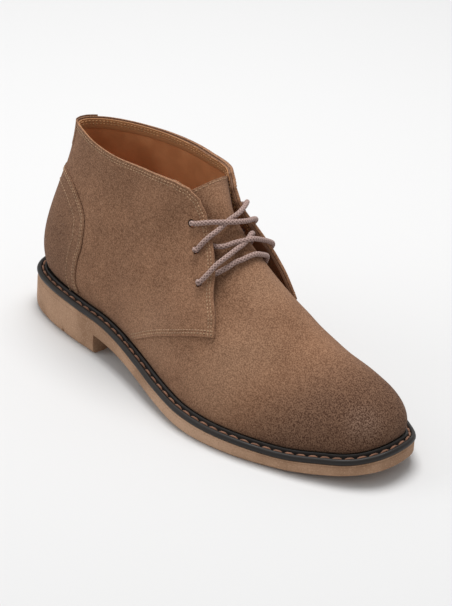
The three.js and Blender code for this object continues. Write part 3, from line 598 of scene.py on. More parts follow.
def grooveSpans():
    spans = [(sole["notch"][0], sole["notch"][1], True)]
    for start, end in sole["runs"]:
        x = start * last["length"]
        while x < end * last["length"]:
            spans.append((x, x + sole["grooveWide"], False))
            x += sole["pitch"]
    return spans


# One line of the section along the whole sole: inset from the outline, height at each place
def soleLine(side, turns, inset, height):
    edge, out = outlinePoint(side, turns), outlineNormal(np.full_like(turns, side), turns)
    return np.column_stack([edge - out * np.reshape(inset, (-1, 1)), height])


def makeOutsole(hair=0.02):
    marks = [last["heelLength"]] + [x for span in grooveSpans() for x in span[:2]]
    turns = set(np.linspace(0, 1, sole["steps"]).tolist())
    turns |= {turnAt(x + shift) for x in marks for shift in (-hair, hair)}
    turns = np.array(sorted(turns))
    x = last["length"] * (0.5 + 0.5 * np.cos(np.pi * turns))
    through, inside = np.zeros_like(x, bool), np.zeros_like(x, bool)
    for start, end, whole in grooveSpans():
        hit = (x > start) & (x < end)
        inside |= hit & (not whole)
        through |= hit & whole
    top, floor = soleTop(x), soleUnder(x) + np.where(through, sole["notchDeep"], 0)
    rounder = 1 + sole["toeRound"] * (1 - blend(0.04, 0.3, turns))
    walls = {-1: [], 1: []}
    for side, wall in walls.items():
        for rise, inset in sole["edge"]:
            inset = inset * (rounder if rise < 0.5 else 1)
            wall.append(soleLine(side, turns, inset, floor + rise * (top - floor)))
    width = np.abs(outlinePoint(1, turns)[:, 1] - outlinePoint(-1, turns)[:, 1]) / 2
    foot = sole["foot"] * rounder + 0.3
    margin, rim = (foot + (inset - foot) * blend(0, 3 * inset, width)
                   for inset in (sole["margin"], sole["lid"]))
    bottom = []
    for side, extra in ((-1, 0), (-1, hair), (1, hair), (1, 0)):
        deep = np.where(inside & (extra > 0), sole["grooveDeep"], 0)
        bottom.append(soleLine(side, turns, margin + extra, floor + deep))
    lid = [soleLine(side, turns, rim, top) for side in (1, -1)]
    # once round the section: lateral side down, across the bottom, medial side up, back over the top
    grid = np.array(walls[-1][::-1] + bottom + walls[1] + lid)
    count, columns = grid.shape[:2]
    faces = [tuple((s % count) * columns + c for s, c in ((r, c), (r, c + 1), (r + 1, c + 1), (r + 1, c)))
             for r in range(count) for c in range(columns - 1)]
    makePiece("crepe_sole", grid.reshape(-1, 3), faces, "crepe", ("outsole",), sharpAngle=32)


makeOutsole()
print("sole made")

# Welt

welt = {"steps": 190, "ribJoint": 0.588, "jointDeep": 1.9, "jointWide": 0.0022, "ribAbove": 4.05,
        "channel": (3.4, 2.75), "stitchPitch": 7.4, "stitchLength": 6.5, "stitchWide": 1.45,
        "profile": ((0.7, 0.2), (0.2, 0.35), (-0.2, 0.8), (-0.45, 1.5), (-0.5, 2.2), (-0.3, 2.9), (0, 3.4),
                    (0.55, 3.8), (1.2, 4), (1.8, 3.9), (2.25, 3.55), (2.5, 2.9), (2.75, 2.35), (3.4, 2.2),
                    (4.1, 2.35), (4.4, 3), (4.6, 4.1), (4.9, 4.75), (5.4, 4.95), (5.9, 4.8), (6.3, 4.3),
                    (6.6, 3.9), (12.4, 4.1), (12.4, 0.3))}


def roundTheFoot(steps):
    lateral = [(-1, 1 - i / steps) for i in range(steps + 1)]
    places = np.array(lateral + [(1, i / steps) for i in range(1, steps)])
    return places[:, 0], places[:, 1]


def loopAt(side, turn, inset, rise):
    edge = outlinePoint(side, turn)
    flat = edge - outlineNormal(side, turn) * inset
    return np.column_stack([flat, soleTop(edge[:, 0]) + rise])


def makeWelt():
    side, turn = roundTheFoot(welt["steps"])
    joint = welt["jointDeep"] * np.exp(-((turn - welt["ribJoint"]) / welt["jointWide"]) ** 2) * (side < 0)
    grid = np.array([loopAt(side, turn, inset, rise - joint * (rise > welt["ribAbove"]))
                     for inset, rise in welt["profile"]])
    rows, columns = grid.shape[:2]
    faces = gridFaces(rows, columns, closedColumns=True)
    faces += [(rows * columns - columns + c, rows * columns - columns + (c + 1) % columns,
               (c + 1) % columns, c) for c in range(columns)]
    makePiece("rubber_welt", grid.reshape(-1, 3), faces, "rubber", ("welt",), sharpAngle=50)


makeWelt()


# Thread


# One small bent thread for each stitch along a line of points with their surface normals
def threadMesh(line, normals, pitch, length, wide, lift=0.35, flat=0.8, sides=6, skew=0.0):
    reach = reachAlong(line)
    count = max(int(reach[-1] // pitch), 1)
    gap = reach[-1] / count
    points, faces = [], []
    shape = ((-0.5, 0.25, -0.9), (-0.42, 0.75, -0.1), (-0.2, 1, 0.8), (0.2, 1, 0.8), (0.42, 0.75, -0.1),
             (0.5, 0.25, -0.9))

    def read(values, at):
        return np.array([np.interp(at, reach, values[:, i]) for i in range(3)])

    for k in range(count):
        rings = []
        for place, swell, height in shape:
            at = (k + 0.5) * gap + place * length
            normal = unit(read(normals, at))
            across = unit(np.cross(normal, read(line, at + 0.3) - read(line, at - 0.3)))
            spot = read(line, at) + normal * height * lift * wide + across * skew * place * wide
            rings.append([spot + (across * math.cos(a) + normal * math.sin(a) * flat) * wide / 2 * swell
                          for a in (2 * math.pi * s / sides for s in range(sides))])
        start = len(points)
        points += [p for ring in rings for p in ring]
        faces += gridFaces(len(rings), sides, start, closedColumns=True)
        faces.append(tuple(start + s for s in reversed(range(sides))))
        faces.append(tuple(start + (len(rings) - 1) * sides + s for s in range(sides)))
    return points, faces


def makeStitches(name, rows, finish):
    points, faces = [], []
    for line, normals, choices in rows:
        more, moreFaces = threadMesh(line, normals, **choices)
        faces += [tuple(k + len(points) for k in face) for face in moreFaces]
        points += more
    makePiece(name, np.array(points), faces, finish)


def weltStitches():
    side, turn = roundTheFoot(500)
    line = loopAt(side, turn, *welt["channel"])
    normals = np.tile((0.0, 0, 1), (len(line), 1))
    choices = {"pitch": welt["stitchPitch"], "length": welt["stitchLength"], "wide": welt["stitchWide"],
               "lift": 0.45, "sides": 8, "skew": 0.2}
    makeStitches("welt_stitches", [(line, normals, choices)], "brownThread")


weltStitches()
print("welt made")

# Quarters, with their lining

# Turn and up of the places on one side of the last that side view shows at each (x, z)
def placesOnSide(side, spots, first, final, reach=0.002, stride=0.03):
    turns, ups = np.meshgrid(np.linspace(first, final, 81), np.linspace(0, 1, 101), indexing="ij")
    flat = easedPoint(side, turns, ups)
    found = []
    for x, z in spots:
        miss = (flat[..., 0] - x) ** 2 + (flat[..., 2] - z) ** 2
        i, j = np.unravel_index(np.argmin(miss), miss.shape)
        turn, up = turns[i, j], min(ups[i, j], 0.99)
        for _ in range(6):
            here = easedPoint(side, turn, up)
            byTurn = (easedPoint(side, turn + reach, up) - here) / reach
            byUp = (easedPoint(side, turn, up + reach) - here) / reach
            grid = np.array([[byTurn[0], byUp[0]], [byTurn[2], byUp[2]]])
            step = np.linalg.lstsq(grid, np.array([x - here[0], z - here[2]]), rcond=None)[0]
            turn = min(turn + np.clip(step[0], -stride, stride), 1)
            up = np.clip(up + np.clip(step[1], -stride, stride), 0, 1 - reach)
        found.append((turn, up))
    return np.array(found)


def smoothLine(spots, count):
    spots = np.asarray(spots, float)
    steps = np.linalg.norm(np.diff(spots, axis=0), axis=1)
    reach = np.concatenate([[0], np.cumsum(steps)]) / steps.sum()
    rows = {"at": reach, **{str(i): spots[:, i] for i in range(spots.shape[1])}}
    at = np.linspace(0, 1, count)
    return np.stack([along(rows, str(i), at) for i in range(spots.shape[1])], -1)


# Front edge of both quarters in side view, (x, z) in mm: along the foot from the welt to its
# corner, then up the facing and round into the collar
frontEdge = {"foot": ((111, 24), (127, 35), (142, 44), (159, 52), (174, 58), (185.5, 60.5)),
             "facing": ((185.5, 60.5), (179.5, 71.5), (173, 80), (166.5, 91), (158.5, 101.5), (150, 110.5),
                        (143.5, 118), (139, 123.5), (134.5, 128), (128.5, 132), (121, 134.1)),
             "collarTurn": 0.628}


# Rows of (up, turn) along that edge on one side, and the up of its corner
def edgeRows(side):
    foot, facing = (placesOnSide(side, frontEdge[run], 0.4, 0.66) for run in ("foot", "facing"))
    foot[0, 1] = 0
    facing = np.vstack([facing, (frontEdge["collarTurn"], 1)])
    rows = np.concatenate([smoothLine(foot, 30), smoothLine(facing, 60)[1:]])[:, ::-1]
    rows[:, 0] = np.maximum.accumulate(np.minimum(rows[:, 0], 1))
    return rows, foot[-1, 1]


frontRows, cornerUp = {}, {}
for side in (-1, 1):
    frontRows[side], cornerUp[side] = edgeRows(side)

quarter = {"inner": -0.6, "heelInner": -0.7, "liningInset": 0.45, "liningDrop": 0.9, "skin": 0.66,
           "facingMm": 7.6, "facingLift": 0.05, "foldDeep": 0.12,
           "fineMm": (0, 0.15, 0.35, 0.75, 1.2, 1.6, 2.0, 2.5, 3.0, 3.5, 4.0, 4.6, 5.6, 7.5),
           "backSteps": 46, "lowSteps": 26, "highSteps": 34, "seamMm": (1.75, 3.55), "seamDeep": 0.15}
eyelets = {"places": ((138.6, 111.1), (148.9, 98.1), (160.8, 83.6)), "hole": 4.9, "cutDeep": 16}


def frontTurn(side, up):
    return np.interp(up, frontRows[side][:, 0], frontRows[side][:, 1])


# Places of a quarter's grid, its first columns at true distances from its front edge
def quarterPlaces(side, insetMm=0, reach=0.004):
    corner = cornerUp[side]
    low = np.linspace(0, corner, quarter["lowSteps"] + 1)[:-1]
    fine = np.array(quarter["fineMm"])
    nearTop = 1 - fine[::-1] / last["shaft"]
    high = np.linspace(corner, nearTop[0], quarter["highSteps"] + 1)[:-1]
    ups = np.concatenate([low, high, nearTop])
    front = frontTurn(side, ups)
    edge = easedPoint(side, front, ups)
    run = easedPoint(side, front + reach, ups) - edge
    perTurn = np.linalg.norm(run, axis=-1) / reach
    tangent = unit(np.gradient(edge, axis=0))
    slant = np.clip(np.linalg.norm(np.cross(unit(run), tangent), axis=-1), 0.35, 1)
    shift = (fine[None, :] + insetMm) / (perTurn * slant)[:, None]
    start = front[:, None] + shift
    rest = np.linspace(0, 1, quarter["backSteps"] + 1)[1:] ** 1.15
    back = start[:, -1:] + (1 - start[:, -1:]) * rest[None, :]
    turns = np.concatenate([start, back], 1)
    distance = np.concatenate([fine, np.full(len(rest), 30.0)])
    fromTop = (1 - ups) * last["shaft"]
    return turns, ups[:, None] + 0 * turns, distance[None, :] + 0 * turns, fromTop[:, None] + 0 * turns


# Soft troughs in the suede: side, turn, up, length and width as shares, depth in mm
creases = {
    "quarter": ((-1, 0.62, 0.5, 0.1, 0.09, 0.5), (-1, 0.54, 0.42, 0.05, 0.07, 0.35),
                (-1, 0.7, 0.3, 0.07, 0.1, 0.4), (-1, 0.8, 0.55, 0.05, 0.16, 0.3),
                (1, 0.6, 0.5, 0.09, 0.09, 0.5), (1, 0.72, 0.4, 0.07, 0.1, 0.4)),
    "vamp": ((-1, 0.385, 0.42, 0.02, 0.16, 0.45), (-1, 0.345, 0.5, 0.018, 0.2, 0.4),
             (-1, 0.44, 0.2, 0.05, 0.06, 0.3), (1, 0.385, 0.45, 0.02, 0.16, 0.45),
             (1, 0.345, 0.5, 0.018, 0.2, 0.4))}


def creaseDepth(kind, side, turn, up):
    depth = 0 * np.asarray(turn, float)
    for atSide, atTurn, atUp, turnWide, upWide, deep in creases[kind]:
        hit = np.exp(-((turn - atTurn) / turnWide) ** 2 - ((up - atUp) / upWide) ** 2)
        depth = depth + deep * hit * (np.asarray(side) == atSide)
    return depth


def seamTrough(distance):
    return sum(quarter["seamDeep"] * np.exp(-((distance - seam) / 0.42) ** 2) for seam in quarter["seamMm"])


def cutHoles(piece, cutters):
    for cutter in cutters:
        change = piece.modifiers.new("hole", "BOOLEAN")
        change.operation = "DIFFERENCE"
        change.solver = "EXACT"
        change.object = cutter
    bpy.context.view_layer.update()
    done = bpy.data.meshes.new_from_object(piece.evaluated_get(bpy.context.evaluated_depsgraph_get()))
    piece.modifiers.clear()
    old = piece.data
    piece.data = done
    bpy.data.meshes.remove(old)


def eyeletFrames(side):
    return [(offLast(side, turn, up, quarterFace(side, turn, up)), lastNormal(side, turn, up))
            for turn, up in placesOnSide(side, eyelets["places"], 0.42, 0.66)]


def holeCutters(side):
    cutters = []
    radius = eyelets["hole"] / 2000
    for spot, normal in eyeletFrames(side):
        work = bmesh.new()
        bmesh.ops.create_cone(work, cap_ends=True, segments=28, radius1=radius, radius2=radius,
                              depth=eyelets["cutDeep"] / 1000)
        mesh = bpy.data.meshes.new("cutter")
        work.to_mesh(mesh)
        work.free()
        cutter = addObject("cutter", mesh)
        cutter.rotation_euler = Vector(normal).to_track_quat("Z", "Y").to_euler()
        cutter.location = toFrame(spot)
        cutters.append(cutter)
    return cutters


def makeQuarter(side, word):
    turns, ups, fromFront, fromTop = quarterPlaces(side)
    face = quarterFace(side, turns, ups) - creaseDepth("quarter", side, turns, ups)
    away = blend(0.06, 0.14, ups)
    face = face - away * np.maximum(seamTrough(fromFront) * (fromFront < 20), seamTrough(fromTop))
    inner = flareAt(side, turns, ups) + quarter["inner"] + quarter["heelInner"] * heelThin(turns)
    outer, under = offLast(side, turns, ups, face), offLast(side, turns, ups, inner)
    points, faces, back = makeShell(outer, under, bulge=0.5)
    piece = makePiece(f"quarter_{word}", points, faces, "suede", ("upper",),
                      backFinish="edge", backFaces=back)
    turns, ups, fromFront, fromTop = quarterPlaces(side, quarter["liningInset"])
    ups = np.minimum(ups, 1 - quarter["liningDrop"] / last["shaft"])
    flare = flareAt(side, turns, ups)
    skin = offLast(side, turns, ups, flare - quarter["skin"] + quarter["heelInner"] * heelThin(turns))
    fold = quarter["foldDeep"] * seamTrough(fromTop) / quarter["seamDeep"]
    flesh = offLast(side, turns, ups, flare - last["wall"] + fold)
    points, faces, back = makeShell(skin, flesh)
    # The lining's rounded cut edges take the throat colour: painted shade
    lips = range(2 * back.start, len(faces))
    leather = makePiece(f"lining_{word}", points, faces, "lining", ("upper",),
                        backFinish="throat", backFaces=lips)
    cutters = holeCutters(side)
    cutHoles(piece, cutters)
    cutHoles(leather, cutters)
    for cutter in cutters:
        bpy.data.objects.remove(cutter)
    # The collar strip's band colour is a darker, shaded copy of the lining's.
    band, edge = fromTop[:, 0] <= quarter["facingMm"], fromFront[0] <= quarter["facingMm"]
    # The throat strip's colour is painted shade.
    strips = {"collar": (np.ix_(band, edge | True), "band", 0.5),
              "throat": (np.ix_(ups[:, 0] > cornerUp[side], edge), "throat", 0.45)}
    for name, (part, finish, deep) in strips.items():
        depth = flare[part] - last["wall"]
        top = offLast(side, turns[part], ups[part], depth - quarter["facingLift"])
        under = offLast(side, turns[part], ups[part], depth - deep)
        makeSheet(f"{name}_facing_{word}", top, under, finish, ("upper",))


for side, word in ((-1, "lateral"), (1, "medial")):
    makeQuarter(side, word)
print("quarters made")

# Vamp and tongue, cut in one

vamp = {"split": 0.43, "mainSteps": 70, "wingSteps": 22, "tongueSteps": 40, "lowRows": 30, "highRows": 34,
        "thick": 1.9, "sink": 2.2, "under": 2.6, "wingSink": 0.25, "wingEnd": 0.62,
        "tongueEnd": 0.563}
wingRows = table("at up", [(0.43, 0.45), (0.46, 0.44), (0.49, 0.37), (0.52, 0.29), (0.56, 0.19), (0.6, 0.1),
                           (0.62, 0.06)])
tongueRows = table("at edge lateral medial sink sag", [
    (0.43, 0.45, 15, 11.5, 4, 12), (0.45, 0.56, 15, 11.5, 4, 12), (0.49, 0.66, 14.5, 12, 4, 12),
    (0.51, 0.7, 13, 13, 3.8, 11.5), (0.53, 0.76, 13, 15.5, 3, 9), (0.56, 0.85, 13.5, 18, 2.4, 6.5)])


def ridgeInwards(turn, reach=0.004):
    start, end = ribTop(1, turn - reach), ribTop(1, np.minimum(turn + reach, last["collarStart"]))
    run = end - start
    return -unit(np.stack([run[..., 2], 0 * run[..., 0], -run[..., 0]], -1))


def vampPoint(side, turn, up):
    deep = blend(0.36, 0.45, turn)
    joined = blend(0.44, 0.66, up)
    deep = deep * (joined + (1 - joined) * blend(vamp["split"], 0.462, turn))
    inwards = ridgeInwards(np.minimum(turn, last["collarStart"]))
    base = offLast(side, turn, up, -vamp["under"] * deep - creaseDepth("vamp", side, turn, up))
    return base + inwards * (vamp["sink"] * deep)[..., None], inwards


def tonguePoint(side, turn, across):
    up = 1 - across * (1 - along(tongueRows, "edge", turn))
    base, inwards = vampPoint(side, turn, up)
    strap = ribTop(side, np.minimum(turn, last["collarStart"]))
    strap[..., 1] += side * across * bySide(side, tongueRows, "lateral", "medial", turn)
    depth = along(tongueRows, "sink", turn) + along(tongueRows, "sag", turn) * across ** 2
    strap = strap + inwards * depth[..., None]
    share = blend(0.44, 0.52, turn)[..., None]
    return base * (1 - share) + strap * share


def makeVamp():
    points, faces, tongueGrids = [], [], []

    def addGrid(grid):
        rows, columns = grid.shape[:2]
        faces.extend(gridFaces(rows, columns, len(points)))
        points.extend(grid.reshape(-1, 3).tolist())

    split = along(wingRows, "up", vamp["split"])
    for side in (-1, 1):
        ups = np.concatenate([np.linspace(0, split, vamp["lowRows"] + 1),
                              np.linspace(split, 1, vamp["highRows"] + 1)[1:]])
        turns = np.linspace(0, 1, vamp["mainSteps"] + 1) ** 0.9 * vamp["split"]
        gridTurn, gridUp = np.meshgrid(turns, ups, indexing="ij")
        grid = vampPoint(np.full_like(gridTurn, side), gridTurn, gridUp)[0]
        grid[:, -1] = vampPoint(np.ones_like(turns), turns, np.ones_like(turns))[0]
        addGrid(grid)
        turns = np.linspace(vamp["split"], vamp["wingEnd"], vamp["wingSteps"] + 1)
        share = np.linspace(0, 1, vamp["lowRows"] + 1)
        gridTurn, gridShare = np.meshgrid(turns, share, indexing="ij")
        gridUp = gridShare * along(wingRows, "up", turns)[:, None]
        sunk = creaseDepth("vamp", side, gridTurn, gridUp)
        sunk = sunk + vamp["wingSink"] * blend(0.44, 0.5, gridTurn) * blend(0, 0.1, gridUp)
        addGrid(offLast(side, gridTurn, gridUp, -sunk))
        turns = np.linspace(vamp["split"], vamp["tongueEnd"], vamp["tongueSteps"] + 1)
        across = 1 - np.linspace(0, 1, vamp["highRows"] + 1)
        gridTurn, gridAcross = np.meshgrid(turns, across, indexing="ij")
        grid = tonguePoint(np.full_like(gridTurn, side), gridTurn, gridAcross)
        grid[:, -1] = tonguePoint(np.ones_like(turns), turns, np.zeros_like(turns))
        tongueGrids.append(grid)
        addGrid(grid)
    piece = makePiece("vamp_and_tongue", np.array(points), faces, "suede", ("upper", "tongue"))
    work = bmesh.new()
    work.from_mesh(piece.data)
    work.faces.ensure_lookup_table()
    level = [face for face in work.faces if abs(face.normal.z) > 0.5]
    top = max(level, key=lambda face: face.calc_center_median().z)
    if top.normal.z < 0:
        bmesh.ops.reverse_faces(work, faces=work.faces)
    work.to_mesh(piece.data)
    work.free()
    thick = piece.modifiers.new("leather", "SOLIDIFY")
    thick.thickness = vamp["thick"] / 1000
    thick.offset = -1
    return tongueGrids


tongueGrids = makeVamp()
print("vamp and tongue made")

# Counter patch and back tab

counter = {"thick": 0.6, "rows": 60, "columns": 70, "smoothing": 14, "seamMm": (1.5, 3.1), "heelSeamMm": 10.5,
           "edge": ((56, 31.5), (53, 36.5), (53.5, 46.5), (54.5, 56.5), (57.5, 66), (56.5, 78), (56, 84.5),
                    (53, 89), (47.5, 93), (36, 100.5), (26.5, 103.5), (9, 102.5))}
tab = {"thick": 0.35, "under": 0.05, "from": 0.9, "lowest": 0.862, "highest": 1.008}


def acrossHeel(lateral, medial, columns):
    share = np.linspace(0, 1, columns)
    start, end = lateral[:, :1], 2 - medial[:, :1]
    turns = start + (end - start) * share
    ups = lateral[:, 1:] + (medial[:, 1:] - lateral[:, 1:]) * share
    return turns, ups


# Outer and inner sheet over the heel, where turns above 1 go on round to the medial side
def heelShell(turns, ups, outer, inner):
    side = np.where(turns > 1, 1.0, -1.0)
    turns = np.where(turns > 1, 2 - turns, turns)
    face = quarterFace(side, turns, ups)
    return [offLast(side, turns, ups, face + distance) for distance in (outer, inner)]


def makeCounter():
    edges = {}
    for side in (-1, 1):
        line = smoothLine(placesOnSide(side, counter["edge"], 0.6, 1), counter["rows"])
        for _ in range(counter["smoothing"]):
            line[1:-1] = (line[:-2] + 2 * line[1:-1] + line[2:]) / 4
        edges[side] = line
    turns, ups = acrossHeel(edges[-1], edges[1], counter["columns"])
    outer, inner = heelShell(turns, ups, counter["thick"], 0)
    makeSheet("counter_patch", outer, inner, "counter", ("heel_counter",))
    return edges


def makeBackTab():
    low = np.array([[tab["from"], up] for up in np.linspace(tab["lowest"], tab["highest"], 16)])
    turns, ups = acrossHeel(low, low, 24)
    rise = np.stack([0 * turns, 0 * turns, np.maximum(ups - 1, 0) * last["shaft"]], -1)
    outer, inner = heelShell(turns, np.minimum(ups, 1), tab["thick"], tab["under"])
    makeSheet("seam_tab", outer + rise, inner + rise, "suede", ("back_tab",))


counterEdges = makeCounter()
makeBackTab()
print("counter and tab made")

# Stitching on the upper

stitch = {"pitch": 2.3, "length": 1.8, "wide": 0.72}


# A row of thread at a distance in from an edge given as (turn, up) on one side
def seamLine(side, edge, insetMm, faceAt, inwardsTo, reach=0.002):
    turn, up = edge[:, 0], edge[:, 1]
    here = easedPoint(side, turn, up)
    byTurn = (easedPoint(side, turn + reach, up) - easedPoint(side, turn - reach, up)) / (2 * reach)
    low, high = np.maximum(up - 2 * reach, 0), np.minimum(up + 2 * reach, 1)
    byUp = (easedPoint(side, turn, high) - easedPoint(side, turn, low)) / (high - low)[:, None]
    tangent = unit(np.gradient(here, axis=0))
    inwards = unit(np.cross(lastNormal(side, turn, up), tangent))
    goal = byTurn * inwardsTo[0] + byUp * inwardsTo[1]
    inwards *= np.sign(np.sum(inwards * goal, -1, keepdims=True))
    a, b, c = (np.sum(p * q, -1) for p, q in ((byTurn, byTurn), (byTurn, byUp), (byUp, byUp)))
    d, e = np.sum(byTurn * inwards, -1) * insetMm, np.sum(byUp * inwards, -1) * insetMm
    scale = a * c - b * b
    turn, up = turn + (d * c - e * b) / scale, np.clip(up + (a * e - b * d) / scale, 0, 1)
    return offLast(side, turn, up, faceAt(side, turn, up)), lastNormal(side, turn, up)


def seamed(side, turn, up):
    return quarterFace(side, turn, up) - quarter["seamDeep"] + 0.02


def counterFace(side, turn, up):
    return quarterFace(side, turn, up) + counter["thick"] - 0.05


def insideFace(side, turn, up):
    return flareAt(side, turn, up) - last["wall"] - 0.45


# The same line of (turn, up) places with its points evenly spread over the surface
def evenLine(places, side, count=700):
    spots = easedPoint(side, places[:, 0], places[:, 1])
    reach = reachAlong(spots)
    at = np.linspace(0, reach[-1], count)
    return np.stack([np.interp(at, reach, places[:, 0]), np.interp(at, reach, places[:, 1])], -1)


def makeUpperStitches():
    plain, inside, onCounter = [], [], []
    for side in (-1, 1):
        corner = cornerUp[side]
        nearTop = 1 - 0.1 * (1 - np.linspace(0, 1, 140)[1:]) ** 2
        ups = np.concatenate([np.linspace(corner + 0.004, 0.9, 260), nearTop])
        front = np.stack([frontTurn(side, ups), ups], -1)
        collar = np.stack([np.linspace(front[-1, 0], 1, 400)[1:], np.ones(399)], -1)
        facing = evenLine(np.concatenate([front, collar]), side)
        ups = np.linspace(corner - 0.004, 0.03, 300)
        foot = np.stack([frontTurn(side, ups), ups], -1)
        for inset in quarter["seamMm"]:
            for edge, towards in ((facing, (1, -0.5)), (foot, (1, 0.3))):
                plain.append((*seamLine(side, edge, inset, seamed, towards), stitch))
            line, normals = seamLine(side, facing[160:], inset + 0.7, insideFace, (1, -0.5))
            inside.append((line, -normals, stitch))
        fine = smoothLine(counterEdges[side][::-1], 500)
        seams = [(fine, inset) for inset in counter["seamMm"]] + [(fine[30:], counter["heelSeamMm"])]
        for edge, inset in seams:
            onCounter.append((*seamLine(side, edge, inset, counterFace, (1, -0.5)), stitch))
    makeStitches("quarter_stitches", plain, "tanThread")
    makeStitches("collar_stitches", inside, "rustThread")
    makeStitches("counter_stitches", onCounter, "tanThread")


def makeTongueStitches():
    top = np.concatenate([tongueGrids[0], tongueGrids[1][:, ::-1][:, 1:]], 1)
    row = top[-3][3:-3]
    normals = unit(np.cross(np.gradient(row, axis=0), top[-1][3:-3] - row))
    normals *= np.sign(normals[:, 2:])
    fine = smoothLine(row, 200)
    fineNormals = unit(smoothLine(normals, 200))
    makeStitches("tongue_stitches", [(fine, fineNormals, {**stitch, "wide": 0.5})], "tanThread")


makeUpperStitches()
makeTongueStitches()
print("stitching made")

# Insole


insole = {"steps": 70, "across": 16, "gap": 3.2, "lift": 2.6, "cup": 0.9, "thick": 2.4}


def makeInsole():
    turns = np.linspace(0.02, 0.98, insole["steps"])
    rows = []
    for side in (-1, 1):
        outline = outlinePoint(side, turns)
        out = outlineNormal(np.full_like(turns, side), turns)
        height = soleTop(outline[:, 0]) + last["weltHeight"] + insole["lift"]
        rows.append(np.column_stack([outline - out * (last["weltWidth"] + insole["gap"]), height]))
    share = np.linspace(0, 1, insole["across"])[:, None, None]
    top = rows[0] * (1 - share) + rows[1] * share
    top[..., 2] += insole["cup"] * (2 * share[..., 0] - 1) ** 4
    makeSheet("sock_and_insole", top, top - (0, 0, insole["thick"]), "lining", ("insole",))


makeInsole()

# Lace

laceRoutes = {
    "topOver": ((143.2, -15.9, 113.7), (149.4, -12.6, 115.8), (153.4, -7.8, 116.1), (157.4, -3.7, 116.4),
                (160.2, 0.4, 116.3), (161.2, 5, 115.5), (160.8, 12, 113.5), (158.3, 20, 111),
                (155.6, 25.2, 107.8), (152.6, 27.2, 104.2)),
    "topUnder": ((150.8, -22.1, 100.8), (153.2, -19.2, 105.6), (155.4, -15.2, 109.9), (156.2, -10.2, 112),
                 (156.2, -4.6, 114.3), (156.5, 0.6, 116.6), (157, 7, 118.6), (154.4, 15, 119.4),
                 (149.6, 22.6, 118.4), (145.6, 25.6, 114.4)),
    "middleOver": ((162.3, -10.4, 104), (165.2, -3.8, 105.4), (168.3, 1.6, 106.4), (169.6, 8, 106),
                   (169, 15, 102.9), (168.4, 22.6, 99), (167.4, 28.8, 94.8), (165, 31.2, 90.6)),
    "middleUnder": ((163.3, -30.6, 87.2), (166, -27.5, 91.8), (168, -22.1, 97.5), (169, -16.6, 100.2),
                    (168.6, -10.6, 101.4), (168.6, -5.2, 102.9), (168.8, 0.2, 104.5), (167.6, 6, 106.2),
                    (165.8, 10, 106.8)),
    "low": ((169.6, -14.4, 93.5), (171.6, -8.2, 96.4), (173.3, -4.2, 97.5), (174.5, 0.7, 98.6),
            (174.9, 6, 98.3), (174.5, 11.2, 96))}


# Points of a lace coming off the face of a facing and down through its eyelet
def throughEyelet(side, number, towards):
    spot, normal = eyeletFrames(side)[number]
    away = unit(np.array(towards) - spot)
    steps = ((1.5, 2.4), (0.3, 0.7), (-1.5, -0.7), (-3.8, -1.3))
    return [tuple(spot + normal * out + away * over) for out, over in steps]


def underFacing(side, turn, up, gap=1.8):
    return tuple(offLast(side, turn, up, flareAt(side, turn, up) - last["wall"] - gap))


def besideTongue(turn, up, depth=-0.9):
    return tuple(offLast(1, turn, up, depth))


def curveThrough(points, stepMm):
    points = np.array(points, float)
    ends = np.vstack([2 * points[0] - points[1], points, 2 * points[-1] - points[-2]])
    knots = np.concatenate([[0], np.cumsum(np.linalg.norm(np.diff(ends, axis=0), axis=1) ** 0.5)])
    line = []
    for i in range(1, len(ends) - 2):
        t0, t1, t2, t3 = knots[i - 1:i + 3]
        p0, p1, p2, p3 = ends[i - 1:i + 3]
        count = max(int(np.linalg.norm(p2 - p1) / 0.1), 2)
        t = np.linspace(t1, t2, count, endpoint=False)[:, None]
        a1 = (t1 - t) / (t1 - t0) * p0 + (t - t0) / (t1 - t0) * p1
        a2 = (t2 - t) / (t2 - t1) * p1 + (t - t1) / (t2 - t1) * p2
        a3 = (t3 - t) / (t3 - t2) * p2 + (t - t2) / (t3 - t2) * p3
        b1 = (t2 - t) / (t2 - t0) * a1 + (t - t0) / (t2 - t0) * a2
        b2 = (t3 - t) / (t3 - t1) * a2 + (t - t1) / (t3 - t1) * a3
        line.append((t2 - t) / (t2 - t1) * b1 + (t - t1) / (t2 - t1) * b2)
    line = np.concatenate(line + [ends[-2:-1]])
    reach = reachAlong(line)
    at = np.linspace(0, reach[-1], max(int(reach[-1] / stepMm), 8))
    return np.stack([np.interp(at, reach, line[:, i]) for i in range(3)], -1), at


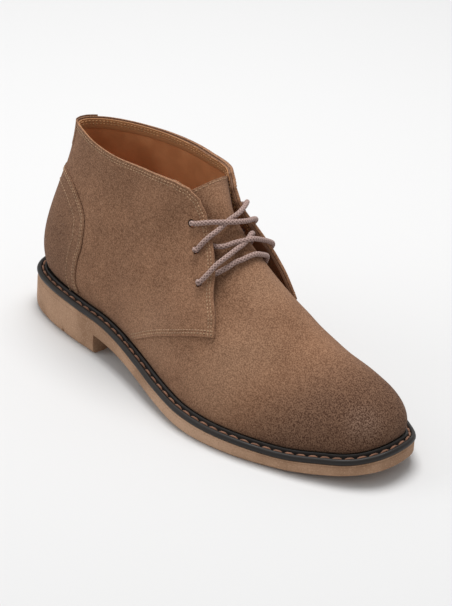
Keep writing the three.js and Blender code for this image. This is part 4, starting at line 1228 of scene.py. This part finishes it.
def laceMesh(points, sides=24):
    line, at = curveThrough(points, 0.33)
    tangent = unit(np.gradient(line, axis=0))
    across = np.zeros_like(line)
    guide = np.array((0.0, 0, 1))
    for i, direction in enumerate(tangent):
        guide = guide - direction * guide.dot(direction)
        guide = guide / np.linalg.norm(guide)
        across[i] = guide
    third = np.cross(tangent, across)
    angle = np.linspace(0, 2 * np.pi, sides, endpoint=False)
    turns = 2 * np.pi * at[:, None] / lace["pitch"]
    half = lace["strands"] / 2
    right, left = np.cos(half * (angle - turns)), np.cos(half * (angle + turns))
    braid = np.maximum(right, left) * 0.6 + 0.4 * np.abs(right * left)
    radius = lace["diameter"] / 2 - lace["relief"] * (1 - braid)
    ring = across[:, None] * np.cos(angle)[None, :, None] + third[:, None] * np.sin(angle)[None, :, None]
    grid = line[:, None] + ring * radius[..., None]
    rows = len(line)
    faces = gridFaces(rows, sides, closedColumns=True)
    faces.append(tuple(reversed(range(sides))))
    faces.append(tuple((rows - 1) * sides + s for s in range(sides)))
    return grid.reshape(-1, 3), faces, np.clip(braid, 0, 1).reshape(-1)


def makeLace(name, routes, replaced):
    points, faces, depth = [], [], []
    for route in routes:
        more, moreFaces, moreDepth = laceMesh(route)
        start = sum(len(p) for p in points)
        faces += [tuple(k + start for k in face) for face in moreFaces]
        points.append(more)
        depth.append(moreDepth)
    piece = makePiece(name, np.concatenate(points), faces, "lace", replaced)
    mark = piece.data.attributes.new("braid", "FLOAT", "POINT")
    mark.data.foreach_set("value", np.concatenate(depth))


# One crossing with its ends carried on through the near and the far eyelet of the given numbers
def threaded(name, near=None, far=None):
    route = list(laceRoutes[name])
    start = [] if near is None else throughEyelet(-1, near, route[0])[::-1]
    end = [] if far is None else throughEyelet(1, far, route[-1])
    return start + route + end


def makeLaces():
    topOver, topUnder = threaded("topOver", 0, 1), threaded("topUnder", 1, 0)
    middleOver = [underFacing(-1, 0.525, 0.7), underFacing(-1, 0.503, 0.722)] + threaded("middleOver", far=2)
    middleUnder = threaded("middleUnder", near=2)
    middleUnder += [(163.5, 14, 105.2), (160.5, 17.3, 101), (158.5, 18.6, 95)]
    low = [underFacing(-1, 0.495, 0.6), underFacing(-1, 0.475, 0.645)] + threaded("low")
    low += [besideTongue(0.455, 0.72), besideTongue(0.462, 0.64), besideTongue(0.47, 0.57)]
    makeLace("laces_top", (topOver, topUnder), ("lace_top_cross",))
    makeLace("laces_middle", (middleOver, middleUnder), ("lace_middle_cross",))
    makeLace("lace_bar", (low,), ("lace_low_bar",))


makeLaces()
print("lace made")
